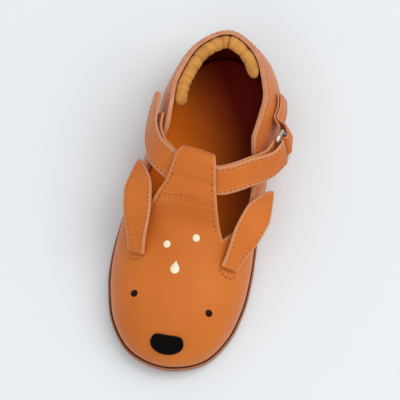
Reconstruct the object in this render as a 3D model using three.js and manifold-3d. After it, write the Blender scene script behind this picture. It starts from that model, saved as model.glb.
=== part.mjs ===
// A toddler's T-bar shoe in soft leather, the right shoe of a pair, with an animal's face on the toe.
// Millimetres, +Z up. The toe points along -Y, the inner (medial) side of the foot is +X.
// The shoe stands on its rubber outsole. Upper, T-bar and the loop that holds the strap are one leather shell.
// The strap starts on the outer side, runs through the loop to a wire ring, turns round it and comes back.

import * as THREE from "three";
import { mergeVertices } from "three/addons/utils/BufferGeometryUtils.js";
import Module from "manifold-3d";

const wasm = await Module();
wasm.setup();

// Driving dimensions
const SHOE_LENGTH = 142; // of the upper at its foot; the outsole adds its welt at both ends
const BALL_WIDTH = 61;
const INSTEP_HEIGHT = 48;
const COLLAR_HEIGHT = 51;
const SOLE_WELT = 1.2; // how far the sole stands out past the upper
const TREAD_DEPTH = 1.1;
const TREAD_GROOVE = 1.8;
const WALL = 1.8; // leather and lining together
const GAP = 0.35; // clear space between pieces that lie on each other
const INSOLE_THICKNESS = 2.6;
const LOOP_LAP = 14.5; // plan length of the T-bar's turned-back end
const LOOP_DIP = 1.3; // how far the turned-back end sinks inwards under the strap
const STRAP_WIDTH = 12.5;
const STRAP_THICKNESS = 1.5;
const STRAP_STANDS_OFF = 1.1; // the loose end of the strap, off the quarter
const RING_STANDS_OFF = 3.2; // the strap's turn round the ring, off the quarter
const RING_WIRE = 1.8;
const RING_REACH = 6.3; // between the middles of the ring's two long bars
const TAB_WIDTH = 9.8;
const TAB_THICKNESS = 1;
const EAR_WIDTH = 13.4;
const EAR_BASE = 8.6;
const EAR_THICKNESS = 1.9;
const NOSE_WIDTH = 14.2;
const NOSE_LENGTH = 9.6;
const NOSE_THICKNESS = 0.9;
const ROLL_HEIGHT = 5; // the gathered lining roll inside the collar
const ROLL_DEPTH = 5;
const GATHERS = 13;
const ROLL_SPAN = [9.4, 13.95]; // loop positions of its two sewn-down ends

// Outline of the upper's foot. Shares: along of the length from its middle, medial and lateral of the ball width.
const TOE = [
  { along: -0.5, medial: -0.06, lateral: -0.06 },
  { along: -0.469, medial: 0.188, lateral: -0.3 },
  { along: -0.3875, medial: 0.335, lateral: -0.452 },
];
const SIDES = [
  { along: -0.289, medial: 0.405, lateral: -0.52 },
  { along: -0.197, medial: 0.425, lateral: -0.54 },
  { along: -0.085, medial: 0.42, lateral: -0.52 },
  { along: 0.028, medial: 0.408, lateral: -0.472 },
  { along: 0.141, medial: 0.412, lateral: -0.42 },
  { along: 0.239, medial: 0.423, lateral: -0.385 },
  { along: 0.324, medial: 0.422, lateral: -0.36 },
];
const HEEL = [
  { along: 0.4475, medial: 0.305, lateral: -0.235 },
  { along: 0.505, medial: 0.034, lateral: 0.034 },
];

// Outsole heights in millimetres: its top, which the upper stands on, and its ground side.
const SOLE = [
  { along: -0.51, top: 9, ground: 4.4 },
  { along: -0.42, top: 6.5, ground: 1.7 },
  { along: -0.33, top: 5.05, ground: 0.2 },
  { along: -0.28, top: 4.8, ground: 0 },
  { along: -0.09, top: 4.8, ground: 0 },
  { along: 0.06, top: 5.5, ground: 1.1 },
  { along: 0.18, top: 6, ground: 0 },
  { along: 0.51, top: 6.4, ground: 0 },
];

// Ridge of the last over the foot, in shares of INSTEP_HEIGHT, and how square each section is.
const RIDGE = [
  { along: -0.5, height: 0.47, power: 2.3 },
  { along: -0.35, height: 0.55, power: 2.3 },
  { along: -0.2, height: 0.635, power: 2.25 },
  { along: -0.07, height: 0.745, power: 2.25 },
  { along: 0.085, height: 1.0, power: 2.3 },
  { along: 0.16, height: 1.13, power: 2.7 },
  { along: 0.24, height: 1.24, power: 3.1 },
  { along: 0.324, height: 1.3, power: 3.4 },
  { along: 0.5, height: 1.32, power: 3.4 },
];

// How far the walls swell out above the foot and how far their top is drawn in by the elastic, in shares of the
// half width; at is the loop position, from the toe (0) over the medial side and the heel (11) to the lateral side.
const WALLS = [
  { at: 0, swell: 0.045, drawn: 0 },
  { at: 5, swell: 0.045, drawn: 0 },
  { at: 6.5, swell: 0.07, drawn: 0.05 },
  { at: 8, swell: 0.115, drawn: 0.13 },
  { at: 9, swell: 0.115, drawn: 0.13 },
  { at: 10, swell: 0.07, drawn: 0.07 },
  { at: 11, swell: 0.045, drawn: 0.01 },
  { at: 12, swell: 0.045, drawn: 0.05 },
  { at: 13, swell: 0.045, drawn: 0.08 },
  { at: 14, swell: 0.045, drawn: 0.1 },
  { at: 15, swell: 0.045, drawn: 0.1 },
  { at: 16.5, swell: 0.045, drawn: 0.03 },
  { at: 18, swell: 0.045, drawn: 0 },
  { at: 22, swell: 0.045, drawn: 0 },
];

// Top edge of the side walls, from the cut-out round to the heel, in shares of COLLAR_HEIGHT.
const TOP_EDGE = [
  { along: -0.115, height: 0.56 },
  { along: -0.05, height: 0.51 },
  { along: 0.0, height: 0.5 },
  { along: 0.05, height: 0.54 },
  { along: 0.1, height: 0.64 },
  { along: 0.15, height: 0.775 },
  { along: 0.185, height: 0.83 },
  { along: 0.25, height: 0.84 },
  { along: 0.33, height: 0.87 },
  { along: 0.43, height: 0.95 },
  { along: 0.5, height: 1.0 },
];

// Edges of the T-bar, sideways from the spine in shares of BALL_WIDTH.
const T_BAR = [
  { along: -0.125, medial: 0.24, lateral: 0.345 },
  { along: -0.09, medial: 0.2, lateral: 0.318 },
  { along: -0.05, medial: 0.17, lateral: 0.294 },
  { along: -0.02, medial: 0.15, lateral: 0.27 },
  { along: 0.02, medial: 0.122, lateral: 0.225 },
  { along: 0.07, medial: 0.095, lateral: 0.203 },
  { along: 0.095, medial: 0.085, lateral: 0.19 },
];
const CUT_OUT_FRONT = -0.125;
const CUT_OUT_ROUND = 7; // length over which the front of a cut-out rounds off
const T_BAR_TOP = [0.084, 0.069]; // where the T-bar turns over to form its loop, at its lateral and medial edge

// Course of the strap over the last: round runs from -1 (lateral foot) over 0 (ridge) to 1 (medial foot).
const STRAP_COURSE = [
  { along: 0.278, round: -0.795 },
  { along: 0.216, round: -0.77 },
  { along: 0.155, round: -0.7 },
  { along: 0.1, round: -0.53 },
  { along: 0.063, round: -0.36 },
  { along: 0.04, round: -0.2 },
  { along: 0.029, round: 0 },
  { along: 0.03, round: 0.2 },
  { along: 0.05, round: 0.36 },
  { along: 0.085, round: 0.53 },
  { along: 0.13, round: 0.7 },
  { along: 0.17, round: 0.785 },
];
const STRAP_START = 1; // row of the table at which the sewn inner run starts
const TAB_HEIGHT = [0.61, 0.57]; // shares of COLLAR_HEIGHT, at the ring and at the back end
const TAB_SPAN = [7.9, 9.15]; // loop positions between which the tab lies on the wall

// Ears: root and tip as places on the last, off how far the tip stands off it, arch how high the ear's middle
// rises above the straight line between the two.
const EARS = [
  { name: "ear_medial", root: { along: -0.203, round: 0.46 }, tip: { along: 0.062, round: 0.785 }, off: 5, arch: 4.6 },
  { name: "ear_lateral", root: { along: -0.198, round: -0.43 }, tip: { along: 0.078, round: -0.71 }, off: 3.2, arch: 7.3 },
];
const NOSE_ROUND = 0.535; // place of the nose between the toe's centre (0) and its foot (1)

// Divisions of the meshes
const SIDE_COLUMNS = 6;
const BAR_COLUMNS = 8;
const TOE_ROWS = 8;
const HEEL_STEPS = 9;

const lerp = (a, b, k) => a + (b - a) * k;
const clamp = (v, lo, hi) => Math.min(hi, Math.max(lo, v));
const ease = (v) => clamp(v, 0, 1) ** 2 * (3 - 2 * clamp(v, 0, 1));
const steps = (n) => Array.from({ length: n + 1 }, (_, i) => i / n);
const mix = (p, q, k) => p.clone().lerp(q, k);

// A smooth curve through a table's rows that never overshoots between two rows.
function through(rows, column, place = "along") {
  const x = rows.map((r) => r[place]);
  const y = rows.map((r) => r[column]);
  const last = x.length - 1;
  const slope = x.slice(1).map((v, i) => (y[i + 1] - y[i]) / (v - x[i]));
  const bend = x.map((_, i) => {
    if (i === 0) return slope[0];
    if (i === last) return slope[last - 1];
    const [a, b] = [slope[i - 1], slope[i]];
    return a * b <= 0 ? 0 : (2 * a * b) / (a + b);
  });
  return (at) => {
    const v = clamp(at, x[0], x[last]);
    let i = 0;
    while (i < last - 1 && v > x[i + 1]) i++;
    const h = x[i + 1] - x[i];
    const k = (v - x[i]) / h;
    const [k2, k3] = [k * k, k * k * k];
    return (
      (2 * k3 - 3 * k2 + 1) * y[i] +
      (k3 - 2 * k2 + k) * h * bend[i] +
      (3 * k2 - 2 * k3) * y[i + 1] +
      (k3 - k2) * h * bend[i + 1]
    );
  };
}

const ridgeShare = through(RIDGE, "height");
const ridgePower = through(RIDGE, "power");
const swellAt = through(WALLS, "swell", "at");
const drawnAt = through(WALLS, "drawn", "at");
const topShare = through(TOP_EDGE, "height");
const barShares = [through(T_BAR, "lateral"), through(T_BAR, "medial")];
const soleTop = through(SOLE, "top");
const soleGround = through(SOLE, "ground");

// Last

// The outline is one closed loop of knots: toe tip, medial side, heel, lateral side.
const HALF = [...TOE, ...SIDES, ...HEEL];
const HEEL_KNOT = HALF.length - 1;
const KNOTS = 2 * HEEL_KNOT;
const TOE_SIDE_KNOT = TOE.length;
const HEEL_SIDE_KNOT = TOE.length + SIDES.length - 1;
const TOE_CENTRE = SIDES[0].along * SHOE_LENGTH;
const HEEL_CENTRE = SIDES[SIDES.length - 1].along * SHOE_LENGTH;

const wrapped = (t) => ((t % KNOTS) + KNOTS) % KNOTS;
const mirrored = (t) => (wrapped(t) <= HEEL_KNOT ? wrapped(t) : KNOTS - wrapped(t));

function knot(i) {
  const row = HALF[mirrored(i)];
  const share = wrapped(i) <= HEEL_KNOT ? row.medial : row.lateral;
  return [share * BALL_WIDTH, row.along * SHOE_LENGTH];
}

// Catmull-Rom value between b and d.
function curve(a, b, d, e, k) {
  return 0.5 * (2 * b + (d - a) * k + (2 * a - 5 * b + 4 * d - e) * k * k + (3 * b - a - 3 * d + e) * k ** 3);
}

// Point of the outline at loop position t.
function outline(t) {
  const i = Math.floor(t);
  const p = [knot(i - 1), knot(i), knot(i + 1), knot(i + 2)];
  return [0, 1].map((c) => curve(p[0][c], p[1][c], p[2][c], p[3][c], t - i));
}

// Point of the foot's middle line that the wall at t leans towards.
function spine(t) {
  const y = clamp(outline(mirrored(t))[1], TOE_CENTRE, HEEL_CENTRE);
  const [front, rear] = [SIDES[0], SIDES[SIDES.length - 1]];
  const k = (y - TOE_CENTRE) / (HEEL_CENTRE - TOE_CENTRE);
  return [(lerp(front.medial + front.lateral, rear.medial + rear.lateral, k) / 2) * BALL_WIDTH, y];
}

// Point of the last's outer face: t round the loop, q from 0 on the spine to 1 at the foot of the wall.
function lastPoint(t, q) {
  const foot = outline(t);
  const mid = spine(t);
  const seat = soleTop(foot[1] / SHOE_LENGTH);
  const roof = ridgeShare(lerp(mid[1], foot[1], q) / SHOE_LENGTH) * INSTEP_HEIGHT;
  const power = ridgePower(mid[1] / SHOE_LENGTH);
  const rise = (roof - seat) * Math.pow(Math.max(0, 1 - Math.pow(q, power)), 1 / power);
  const high = clamp(rise / 40, 0, 1);
  const swell = swellAt(wrapped(t)) * 6.75 * high * (1 - high) ** 2;
  const drawn = drawnAt(wrapped(t)) * clamp((rise - 6) / 32, 0, 1.2) ** 2;
  const out = q * (1 + swell - drawn);
  return new THREE.Vector3(lerp(mid[0], foot[0], out), lerp(mid[1], foot[1], out), seat + rise);
}

// Turn of the arch: 0 on the spine, 1 at the foot, even steps near the foot and over the ridge alike.
const turned = (a) => Math.sin((clamp(Math.abs(a), 0, 1) * Math.PI) / 2);

// Value at which a falling or rising function crosses a level.
function solve(lo, hi, isLow) {
  for (let n = 0; n < 40; n++) {
    const m = (lo + hi) / 2;
    if (isLow(m)) lo = m;
    else hi = m;
  }
  return (lo + hi) / 2;
}

// Loop position of a station along one side.
function sideKnot(along, medial) {
  const t = solve(TOE_SIDE_KNOT, HEEL_SIDE_KNOT, (m) => outline(m)[1] < along * SHOE_LENGTH);
  return medial ? t : KNOTS - t;
}

// Turn at which the wall at t reaches a height.
const turnAtHeight = (t, height) => solve(0, 1, (m) => lastPoint(t, turned(m)).z > height);

// A place off a face given by two running values; the normal points away from the foot.
function standOff(at, u, v, step, off) {
  const point = at(u, v);
  const du = at(u + step, v).sub(at(u - step, v));
  const dv = at(u, v + step).sub(at(u, v - step));
  const normal = du.cross(dv).normalize();
  const away = new THREE.Vector3(point.x, point.y - clamp(point.y, TOE_CENTRE, HEEL_CENTRE), 12);
  if (normal.dot(away) < 0) normal.negate();
  return { point: point.addScaledVector(normal, off), normal };
}

// Place by station and turn (over the foot), by loop position and height (on the walls), or over the toe.
const onArch = (along, round) => lastPoint(sideKnot(along, round >= 0), turned(round));
const place = (along, round, off = 0) => standOff(onArch, along, round, 0.002, off);
const onWall = (t, height) => lastPoint(t, turned(turnAtHeight(t, height)));
const wallPlace = (t, height, off = 0) => standOff(onWall, t, height, 0.02, off);
const onToe = (t, round) => lastPoint(t, turned(round));
const toePlace = (t, round, off = 0) => standOff(onToe, t, round, 0.004, off);

// Closed solids

function solidOf(points, triangles) {
  const geometry = new THREE.BufferGeometry();
  geometry.setAttribute("position", new THREE.Float32BufferAttribute(points.flatMap((p) => p.toArray()), 3));
  geometry.setIndex(triangles.flat());
  const merged = mergeVertices(geometry, 1e-4);
  const kept = [];
  for (let i = 0; i < merged.index.count; i += 3) {
    const [a, b, c] = [0, 1, 2].map((n) => merged.index.getX(i + n));
    if (a !== b && b !== c && a !== c) kept.push(a, b, c);
  }
  const build = (order) => new wasm.Manifold(new wasm.Mesh({
    numProp: 3,
    vertProperties: new Float32Array(merged.attributes.position.array),
    triVerts: new Uint32Array(order),
  }));
  const solid = build(kept);
  if (solid.volume() > 0) return solid;
  return build(kept.map((_, i) => kept[i % 3 === 1 ? i + 1 : i % 3 === 2 ? i - 1 : i]));
}

// Four-cornered faces of a grid of points, rows by columns.
function gridFaces(rows) {
  const faces = [];
  for (let j = 0; j + 1 < rows.length; j++) {
    for (let i = 0; i + 1 < rows[j].length; i++) {
      faces.push([rows[j][i], rows[j][i + 1], rows[j + 1][i + 1], rows[j + 1][i]]);
    }
  }
  return faces;
}

// A sheet of faces, thickened to one side into a closed shell.
function thicken(faces, thickness) {
  const points = [];
  const index = new Map();
  const id = (p) => {
    const key = p.toArray().map((v) => Math.round(v * 500)).join();
    if (!index.has(key)) index.set(key, points.push(p) - 1);
    return index.get(key);
  };
  const rings = faces.map((f) => f.map(id).filter((v, i, all) => v !== all[(i + 1) % all.length]));
  const kept = rings.filter((r) => r.length > 2);
  const normals = points.map(() => new THREE.Vector3());
  for (const r of kept) {
    const [a, b, c, d] = [0, 1, 2, r.length - 1].map((i) => points[r[i]]);
    const n = r.length === 3 ? b.clone().sub(a).cross(c.clone().sub(a)) : c.clone().sub(a).cross(d.clone().sub(b));
    r.forEach((i) => normals[i].add(n));
  }
  const inner = points.map((p, i) => p.clone().addScaledVector(normals[i].normalize(), -thickness));
  const n = points.length;
  const triangles = [];
  const edges = new Map();
  for (const r of kept) {
    for (let i = 1; i + 1 < r.length; i++) {
      triangles.push([r[0], r[i], r[i + 1]], [r[0] + n, r[i + 1] + n, r[i] + n]);
    }
    r.forEach((v, i) => {
      const w = r[(i + 1) % r.length];
      if (!edges.delete(w + "," + v)) edges.set(v + "," + w, [v, w]);
    });
  }
  for (const [v, w] of edges.values()) triangles.push([w, v, v + n], [w, v + n, w + n]);
  return solidOf([...points, ...inner], triangles);
}

// A solid between closed rings of equal count, capped at both ends by fans or left as a closed tube.
function rings(list, closed = false) {
  const sides = list[0].length;
  const triangles = [];
  const count = list.length;
  for (let j = 0; j < (closed ? count : count - 1); j++) {
    for (let i = 0; i < sides; i++) {
      const [a, b] = [j * sides + i, j * sides + ((i + 1) % sides)];
      const next = ((j + 1) % count) * sides;
      const [c, d] = [next + ((i + 1) % sides), next + i];
      triangles.push([a, b, c], [a, c, d]);
    }
  }
  const points = list.flat();
  if (!closed) {
    for (const [j, flip] of [[0, true], [count - 1, false]]) {
      const middle = new THREE.Vector3();
      list[j].forEach((p) => middle.addScaledVector(p, 1 / sides));
      points.push(middle);
      for (let i = 0; i < sides; i++) {
        const [a, b] = [j * sides + i, j * sides + ((i + 1) % sides)];
        triangles.push(flip ? [points.length - 1, b, a] : [points.length - 1, a, b]);
      }
    }
  }
  return solidOf(points, triangles);
}

// A band swept along frames of centre, normal and width; its half width may vary along the run.
function band(frames, halfAt, thickness, across = 4) {
  const list = frames.map((f, n) => {
    const half = halfAt(n);
    const edge = (k, side) => f.centre.clone()
      .addScaledVector(f.wide, lerp(-half, half, k))
      .addScaledVector(f.normal, (side * thickness) / 2);
    const over = steps(across).map((k) => edge(k, 1));
    const under = steps(across).map((k) => edge(1 - k, -1));
    return [...over, ...under];
  });
  return rings(list);
}

// Distance run at each frame.
function runOf(frames) {
  let run = 0;
  return frames.map((f, n) => (run += n ? f.centre.distanceTo(frames[n - 1].centre) : 0));
}

function frameAt(centre, ahead, up) {
  const wide = ahead.clone().cross(up).normalize();
  return { centre, ahead, wide, normal: wide.clone().cross(ahead).normalize() };
}

// Frames along a path given as a function of 0..1 that returns a point and a normal.
function framesOf(path, count) {
  return steps(count).map((k) => {
    const d = 0.4 / count;
    const ahead = path(Math.min(1, k + d)).point.sub(path(Math.max(0, k - d)).point).normalize();
    const here = path(k);
    return frameAt(here.point, ahead, here.normal);
  });
}

// Upper

// The T-bar lifts over the two runs of the strap; its turned-back end lies under them.
const LOOP_LIFT = WALL + 2 * STRAP_THICKNESS + 4 * GAP - LOOP_DIP;
const LAP_LOW = -WALL - LOOP_DIP;
const LAP_END = T_BAR_TOP[1] - LOOP_LAP / SHOE_LENGTH;
const RAMP = [CUT_OUT_FRONT + 1 / SHOE_LENGTH, LAP_END + 2.2 / SHOE_LENGTH];
const barLift = (along) => LOOP_LIFT * ease((along - RAMP[0]) / (RAMP[1] - RAMP[0]));

// Turns at which the T-bar's lifted face, seen from above, reaches its table's lateral and medial edges.
const barEdges = new Map();
function barTurns(along) {
  const at = Math.max(along, CUT_OUT_FRONT);
  if (!barEdges.has(at)) {
    barEdges.set(at, [-1, 1].map((side, i) => {
      const middle = spine(sideKnot(at, side > 0))[0];
      const half = barShares[i](at) * BALL_WIDTH;
      return solve(0, 0.9, (m) => Math.abs(place(at, side * m, barLift(at)).point.x - middle) < half);
    }));
  }
  return barEdges.get(at);
}

const joinTurn = barTurns(CUT_OUT_FRONT);
const stations = (from, to, count) => steps(count).map((k) => lerp(from, to, k));
const CUT_END = CUT_OUT_FRONT + (CUT_OUT_ROUND * 1.5) / SHOE_LENGTH;
const cutRows = [0, 0.03, 0.1, 0.22, 0.4, 0.66, 1].map((k) => lerp(CUT_OUT_FRONT, CUT_END, k));

// Turn of the side wall's top edge at a station.
function edgeTurn(along, medial) {
  const full = turnAtHeight(sideKnot(along, medial), topShare(along) * COLLAR_HEIGHT);
  const k = clamp(((along - CUT_OUT_FRONT) * SHOE_LENGTH) / CUT_OUT_ROUND, 0, 1);
  return lerp(joinTurn[+medial], full, Math.sqrt(1 - (1 - k) ** 2));
}

// Turns across the whole arch, split at the T-bar's edges.
const archTurns = [
  ...steps(SIDE_COLUMNS).map((k) => -lerp(1, joinTurn[0], k)),
  ...steps(BAR_COLUMNS).slice(1, -1).map((k) => lerp(-joinTurn[0], joinTurn[1], k)),
  ...steps(SIDE_COLUMNS).map((k) => lerp(joinTurn[1], 1, k)),
];

// A point of the toe, from a square's place (a across, b forward) laid onto the round toe.
function toePoint(a, b) {
  const x = a * Math.sqrt(1 - (b * b) / 2);
  const y = b * Math.sqrt(1 - (a * a) / 2);
  const t = (Math.atan2(Math.abs(x), y) / (Math.PI / 2)) * TOE_SIDE_KNOT;
  return lastPoint(x >= 0 ? t : KNOTS - t, turned(Math.min(1, Math.hypot(x, y))));
}

function barPoint(along, k, off) {
  const turn = barTurns(along);
  return place(along, lerp(-turn[0], turn[1], k), off).point;
}

function barRows() {
  const columns = steps(BAR_COLUMNS);
  const topAt = (k) => lerp(T_BAR_TOP[0], T_BAR_TOP[1], k);
  const up = [
    ...[...cutRows, ...stations(CUT_END, RAMP[1], 6).slice(1)].map((along) => () => along),
    ...steps(5).slice(1).map((s) => (k) => lerp(RAMP[1], topAt(k), s)),
  ].map((along) => columns.map((k) => barPoint(along(k), k, barLift(along(k)))));
  const radius = (LOOP_LIFT - LAP_LOW) / 2;
  const fold = steps(5).slice(1, -1).map((turn) => columns.map((k) => {
    const [top, low] = [LOOP_LIFT, LAP_LOW].map((off) => barPoint(topAt(k), k, off));
    const out = top.clone().sub(low).normalize();
    const on = barPoint(topAt(k), k, 0).sub(barPoint(topAt(k) - 0.002, k, 0)).normalize();
    return mix(top, low, 0.5)
      .addScaledVector(out, radius * Math.cos(Math.PI * turn))
      .addScaledVector(on, radius * Math.sin(Math.PI * turn));
  }));
  const back = steps(5).map((s) => columns.map((k) => barPoint(lerp(topAt(k), LAP_END, s), k, LAP_LOW)));
  return [...up, ...fold, ...back];
}

function sideWall(medial) {
  const list = [...cutRows, ...stations(CUT_END, HEEL_CENTRE / SHOE_LENGTH, 14).slice(1)];
  return list.map((along) => steps(SIDE_COLUMNS).map((k) =>
    lastPoint(sideKnot(along, medial), turned(lerp(1, edgeTurn(along, medial), k)))));
}

function heelWall() {
  return stations(HEEL_SIDE_KNOT, KNOTS - HEEL_SIDE_KNOT, 2 * HEEL_STEPS).map((t) => {
    const top = turnAtHeight(t, topShare(outline(t)[1] / SHOE_LENGTH) * COLLAR_HEIGHT);
    return steps(SIDE_COLUMNS).map((k) => lastPoint(t, turned(lerp(1, top, k))));
  });
}

function upperSolid() {
  const toe = steps(TOE_ROWS).map((k) => archTurns.map((a) => toePoint(a, 1 - k)));
  const front = stations(SIDES[0].along, CUT_OUT_FRONT, 6).map((along) => archTurns.map((a) => onArch(along, a)));
  const faces = [
    ...gridFaces(toe),
    ...gridFaces(front),
    ...gridFaces(barRows()),
    ...gridFaces(sideWall(false)),
    ...gridFaces(sideWall(true).map((r) => [...r].reverse())),
    ...gridFaces(heelWall().map((r) => [...r].reverse())),
  ];
  return thicken(faces, WALL);
}

// Sole and insole: rings round the outline, drawn in from it by an inset, at a height that follows the sole.

const LOOP = stations(0, KNOTS, 4 * KNOTS).slice(0, -1);

function soleRing(inset, height) {
  return LOOP.map((t) => {
    const [x, y] = outline(t);
    const [ax, ay] = outline(t + 0.05);
    const [bx, by] = outline(t - 0.05);
    const run = Math.hypot(ax - bx, ay - by);
    const [nx, ny] = [-(ay - by) / run, (ax - bx) / run];
    const [px, py] = [x + nx * inset, y + ny * inset];
    return new THREE.Vector3(px, py, height(py / SHOE_LENGTH));
  });
}

function spineRing(height) {
  return LOOP.map((t) => {
    const [x, y] = spine(t);
    return new THREE.Vector3(x, y, height(y / SHOE_LENGTH));
  });
}

function outsoleSolid() {
  const rise = (share) => (along) => lerp(soleGround(along), soleTop(along) - GAP, share);
  const side = [
    { inset: 0.3 - SOLE_WELT, share: 1 },
    { inset: -SOLE_WELT, share: 0.9 },
    { inset: -SOLE_WELT, share: 0.62 },
    { inset: 0.45 - SOLE_WELT, share: 0.54 },
    { inset: 0.15 - SOLE_WELT, share: 0.44 },
    { inset: 0.35 - SOLE_WELT, share: 0.22 },
    { inset: 1.5 - SOLE_WELT, share: 0 },
  ];
  const body = rings([
    spineRing(rise(1)),
    ...side.map((row) => soleRing(row.inset, rise(row.share))),
    spineRing(rise(0)),
  ], false);
  return grooves().reduce((solid, groove) => solid.subtract(groove), body);
}

// Tread: grooves across the forefoot and the heel, each a shallow slot that follows the ground side.
const GROOVES = [-0.395, -0.345, -0.3, -0.15, -0.1, 0.22, 0.27, 0.4];

function grooves() {
  return GROOVES.map((along) => {
    const y = along * SHOE_LENGTH;
    const slot = new THREE.BoxGeometry(90, TREAD_GROOVE, 2 * TREAD_DEPTH);
    slot.translate(0, y, soleGround(along));
    return meshSolid(slot);
  });
}

function meshSolid(geometry) {
  const bare = geometry.clone();
  ["normal", "uv"].forEach((name) => bare.deleteAttribute(name));
  const merged = mergeVertices(bare, 1e-4);
  return new wasm.Manifold(new wasm.Mesh({
    numProp: 3,
    vertProperties: new Float32Array(merged.attributes.position.array),
    triVerts: new Uint32Array(merged.index.array),
  }));
}

function insoleSolid() {
  const foot = WALL + 0.9;
  const level = (up) => (along) => soleTop(along) + up;
  return rings([
    spineRing(level(INSOLE_THICKNESS + 0.2)),
    soleRing(foot + 1.1, level(INSOLE_THICKNESS)),
    soleRing(foot + 0.15, level(INSOLE_THICKNESS - 0.6)),
    soleRing(foot, level(0.12)),
    spineRing(level(0.12)),
  ], false);
}

// Collar lining: a gathered roll along the inside of the top edge, round the back of the heel.
function liningSolid() {
  const [from, to] = ROLL_SPAN;
  const count = 4 * GATHERS;
  const sides = 8;
  const list = steps(count).map((k) => {
    const t = lerp(from, to, k);
    const top = topShare(outline(t)[1] / SHOE_LENGTH) * COLLAR_HEIGHT;
    const spot = wallPlace(t, top - 0.4, 0);
    const gather = 1 + 0.13 * Math.cos(2 * Math.PI * k * GATHERS);
    const end = Math.sqrt(clamp(Math.min(k, 1 - k) * 26 + 0.12, 0, 1));
    const tall = (ROLL_HEIGHT / 2) * gather * end;
    const deep = (ROLL_DEPTH / 2) * gather * end;
    const inward = spot.normal.clone().setZ(0).normalize().negate();
    const up = new THREE.Vector3(0, 0, 1);
    const centre = spot.point.clone()
      .addScaledVector(spot.normal, -(WALL + GAP))
      .addScaledVector(inward, (ROLL_DEPTH / 2) * 1.13 - 0.2)
      .addScaledVector(up, -1.3);
    return Array.from({ length: sides }, (_, s) => {
      const a = (2 * Math.PI * s) / sides;
      return centre.clone().addScaledVector(inward, Math.cos(a) * deep).addScaledVector(up, Math.sin(a) * tall);
    });
  });
  return rings(list);
}

// Strap, ring and tab

const innerOff = GAP + STRAP_THICKNESS / 2;
const outerOff = innerOff + STRAP_THICKNESS + GAP;
const foldRadius = RING_WIRE / 2 + GAP + STRAP_THICKNESS / 2;

function courseAt(position, off) {
  const i = clamp(Math.floor(position), 0, STRAP_COURSE.length - 2);
  const row = (n) => STRAP_COURSE[clamp(n, 0, STRAP_COURSE.length - 1)];
  const value = (c) => curve(row(i - 1)[c], row(i)[c], row(i + 1)[c], row(i + 2)[c], position - i);
  const round = value("round");
  const dip = LOOP_DIP * (1 - ease((Math.abs(round) - 0.24) / 0.3));
  return place(value("along"), round, off - dip);
}

const STRAP_LAST = STRAP_COURSE.length - 1;

// Inner run to the ring, turn round its bar, and outer run back to the loose end.
function strapAndRing() {
  const lift = 2 * foldRadius - (outerOff - innerOff);
  const inner = framesOf((k) => {
    const at = lerp(STRAP_START, STRAP_LAST, k);
    return courseAt(at, innerOff + RING_STANDS_OFF * ease((at - STRAP_LAST + 2.6) / 2.6));
  }, 3 * (STRAP_LAST - STRAP_START));
  const outer = framesOf((k) => {
    const at = lerp(STRAP_LAST, 0, k);
    const nearRing = ease((at - STRAP_LAST + 2.6) / 2.6);
    const loose = ease((2.6 - at) / 2);
    return courseAt(at, outerOff + (lift + RING_STANDS_OFF) * nearRing + STRAP_STANDS_OFF * loose);
  }, 3 * STRAP_LAST);
  const end = inner[inner.length - 1];
  const first = outer[0];
  const centre = mix(end.centre, first.centre, 0.5);
  const up = first.centre.clone().sub(end.centre).normalize();
  const ahead = end.ahead.clone().addScaledVector(up, -end.ahead.dot(up)).normalize();
  const wide = ahead.clone().cross(up).normalize();
  const radius = end.centre.distanceTo(first.centre) / 2;
  const turn = steps(7).slice(1, -1).map((k) => {
    const out = up.clone().multiplyScalar(-Math.cos(Math.PI * k)).addScaledVector(ahead, Math.sin(Math.PI * k));
    return { centre: centre.clone().addScaledVector(out, radius), normal: out.clone().negate(), wide };
  });
  const back = outer.map((f) => ({ ...f, normal: f.normal.clone().negate(), wide: f.wide.clone().negate() }));
  const frames = [...inner, ...turn, ...back];
  const run = runOf(frames);
  const total = run[run.length - 1];
  const halfAt = (n) => {
    const rest = total - run[n] + 1.2;
    const r = STRAP_WIDTH / 2;
    return rest >= r ? r : Math.sqrt(r * r - (r - rest) ** 2);
  };
  return { strap: band(frames, halfAt, STRAP_THICKNESS), ring: { centre, ahead, up, wide } };
}

// Wire ring: a rounded rectangle of round wire in the plane of the strap.
function ringSolid({ centre, ahead, up, wide }) {
  const long = STRAP_WIDTH + 2 * GAP + RING_WIRE + 0.6;
  const corner = 1.6;
  const middle = centre.clone().addScaledVector(ahead, RING_REACH / 2);
  const corners = [[1, 1], [-1, 1], [-1, -1], [1, -1]];
  const path = corners.flatMap(([su, sv], n) => steps(3).map((k) => {
    const a = ((n + k) * Math.PI) / 2;
    return middle.clone()
      .addScaledVector(ahead, su * (RING_REACH / 2 - corner) + corner * Math.cos(a))
      .addScaledVector(wide, sv * (long / 2 - corner) + corner * Math.sin(a));
  }));
  const sides = 8;
  const list = path.map((p, i) => {
    const run = path[(i + 1) % path.length].clone().sub(path[(i + path.length - 1) % path.length]).normalize();
    const out = run.clone().cross(up).normalize();
    return Array.from({ length: sides }, (_, s) => {
      const a = (2 * Math.PI * (s + 0.5)) / sides;
      return p.clone()
        .addScaledVector(out, (Math.cos(a) * RING_WIRE) / 2)
        .addScaledVector(up, (Math.sin(a) * RING_WIRE) / 2);
    });
  });
  return rings(list, true);
}

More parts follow.
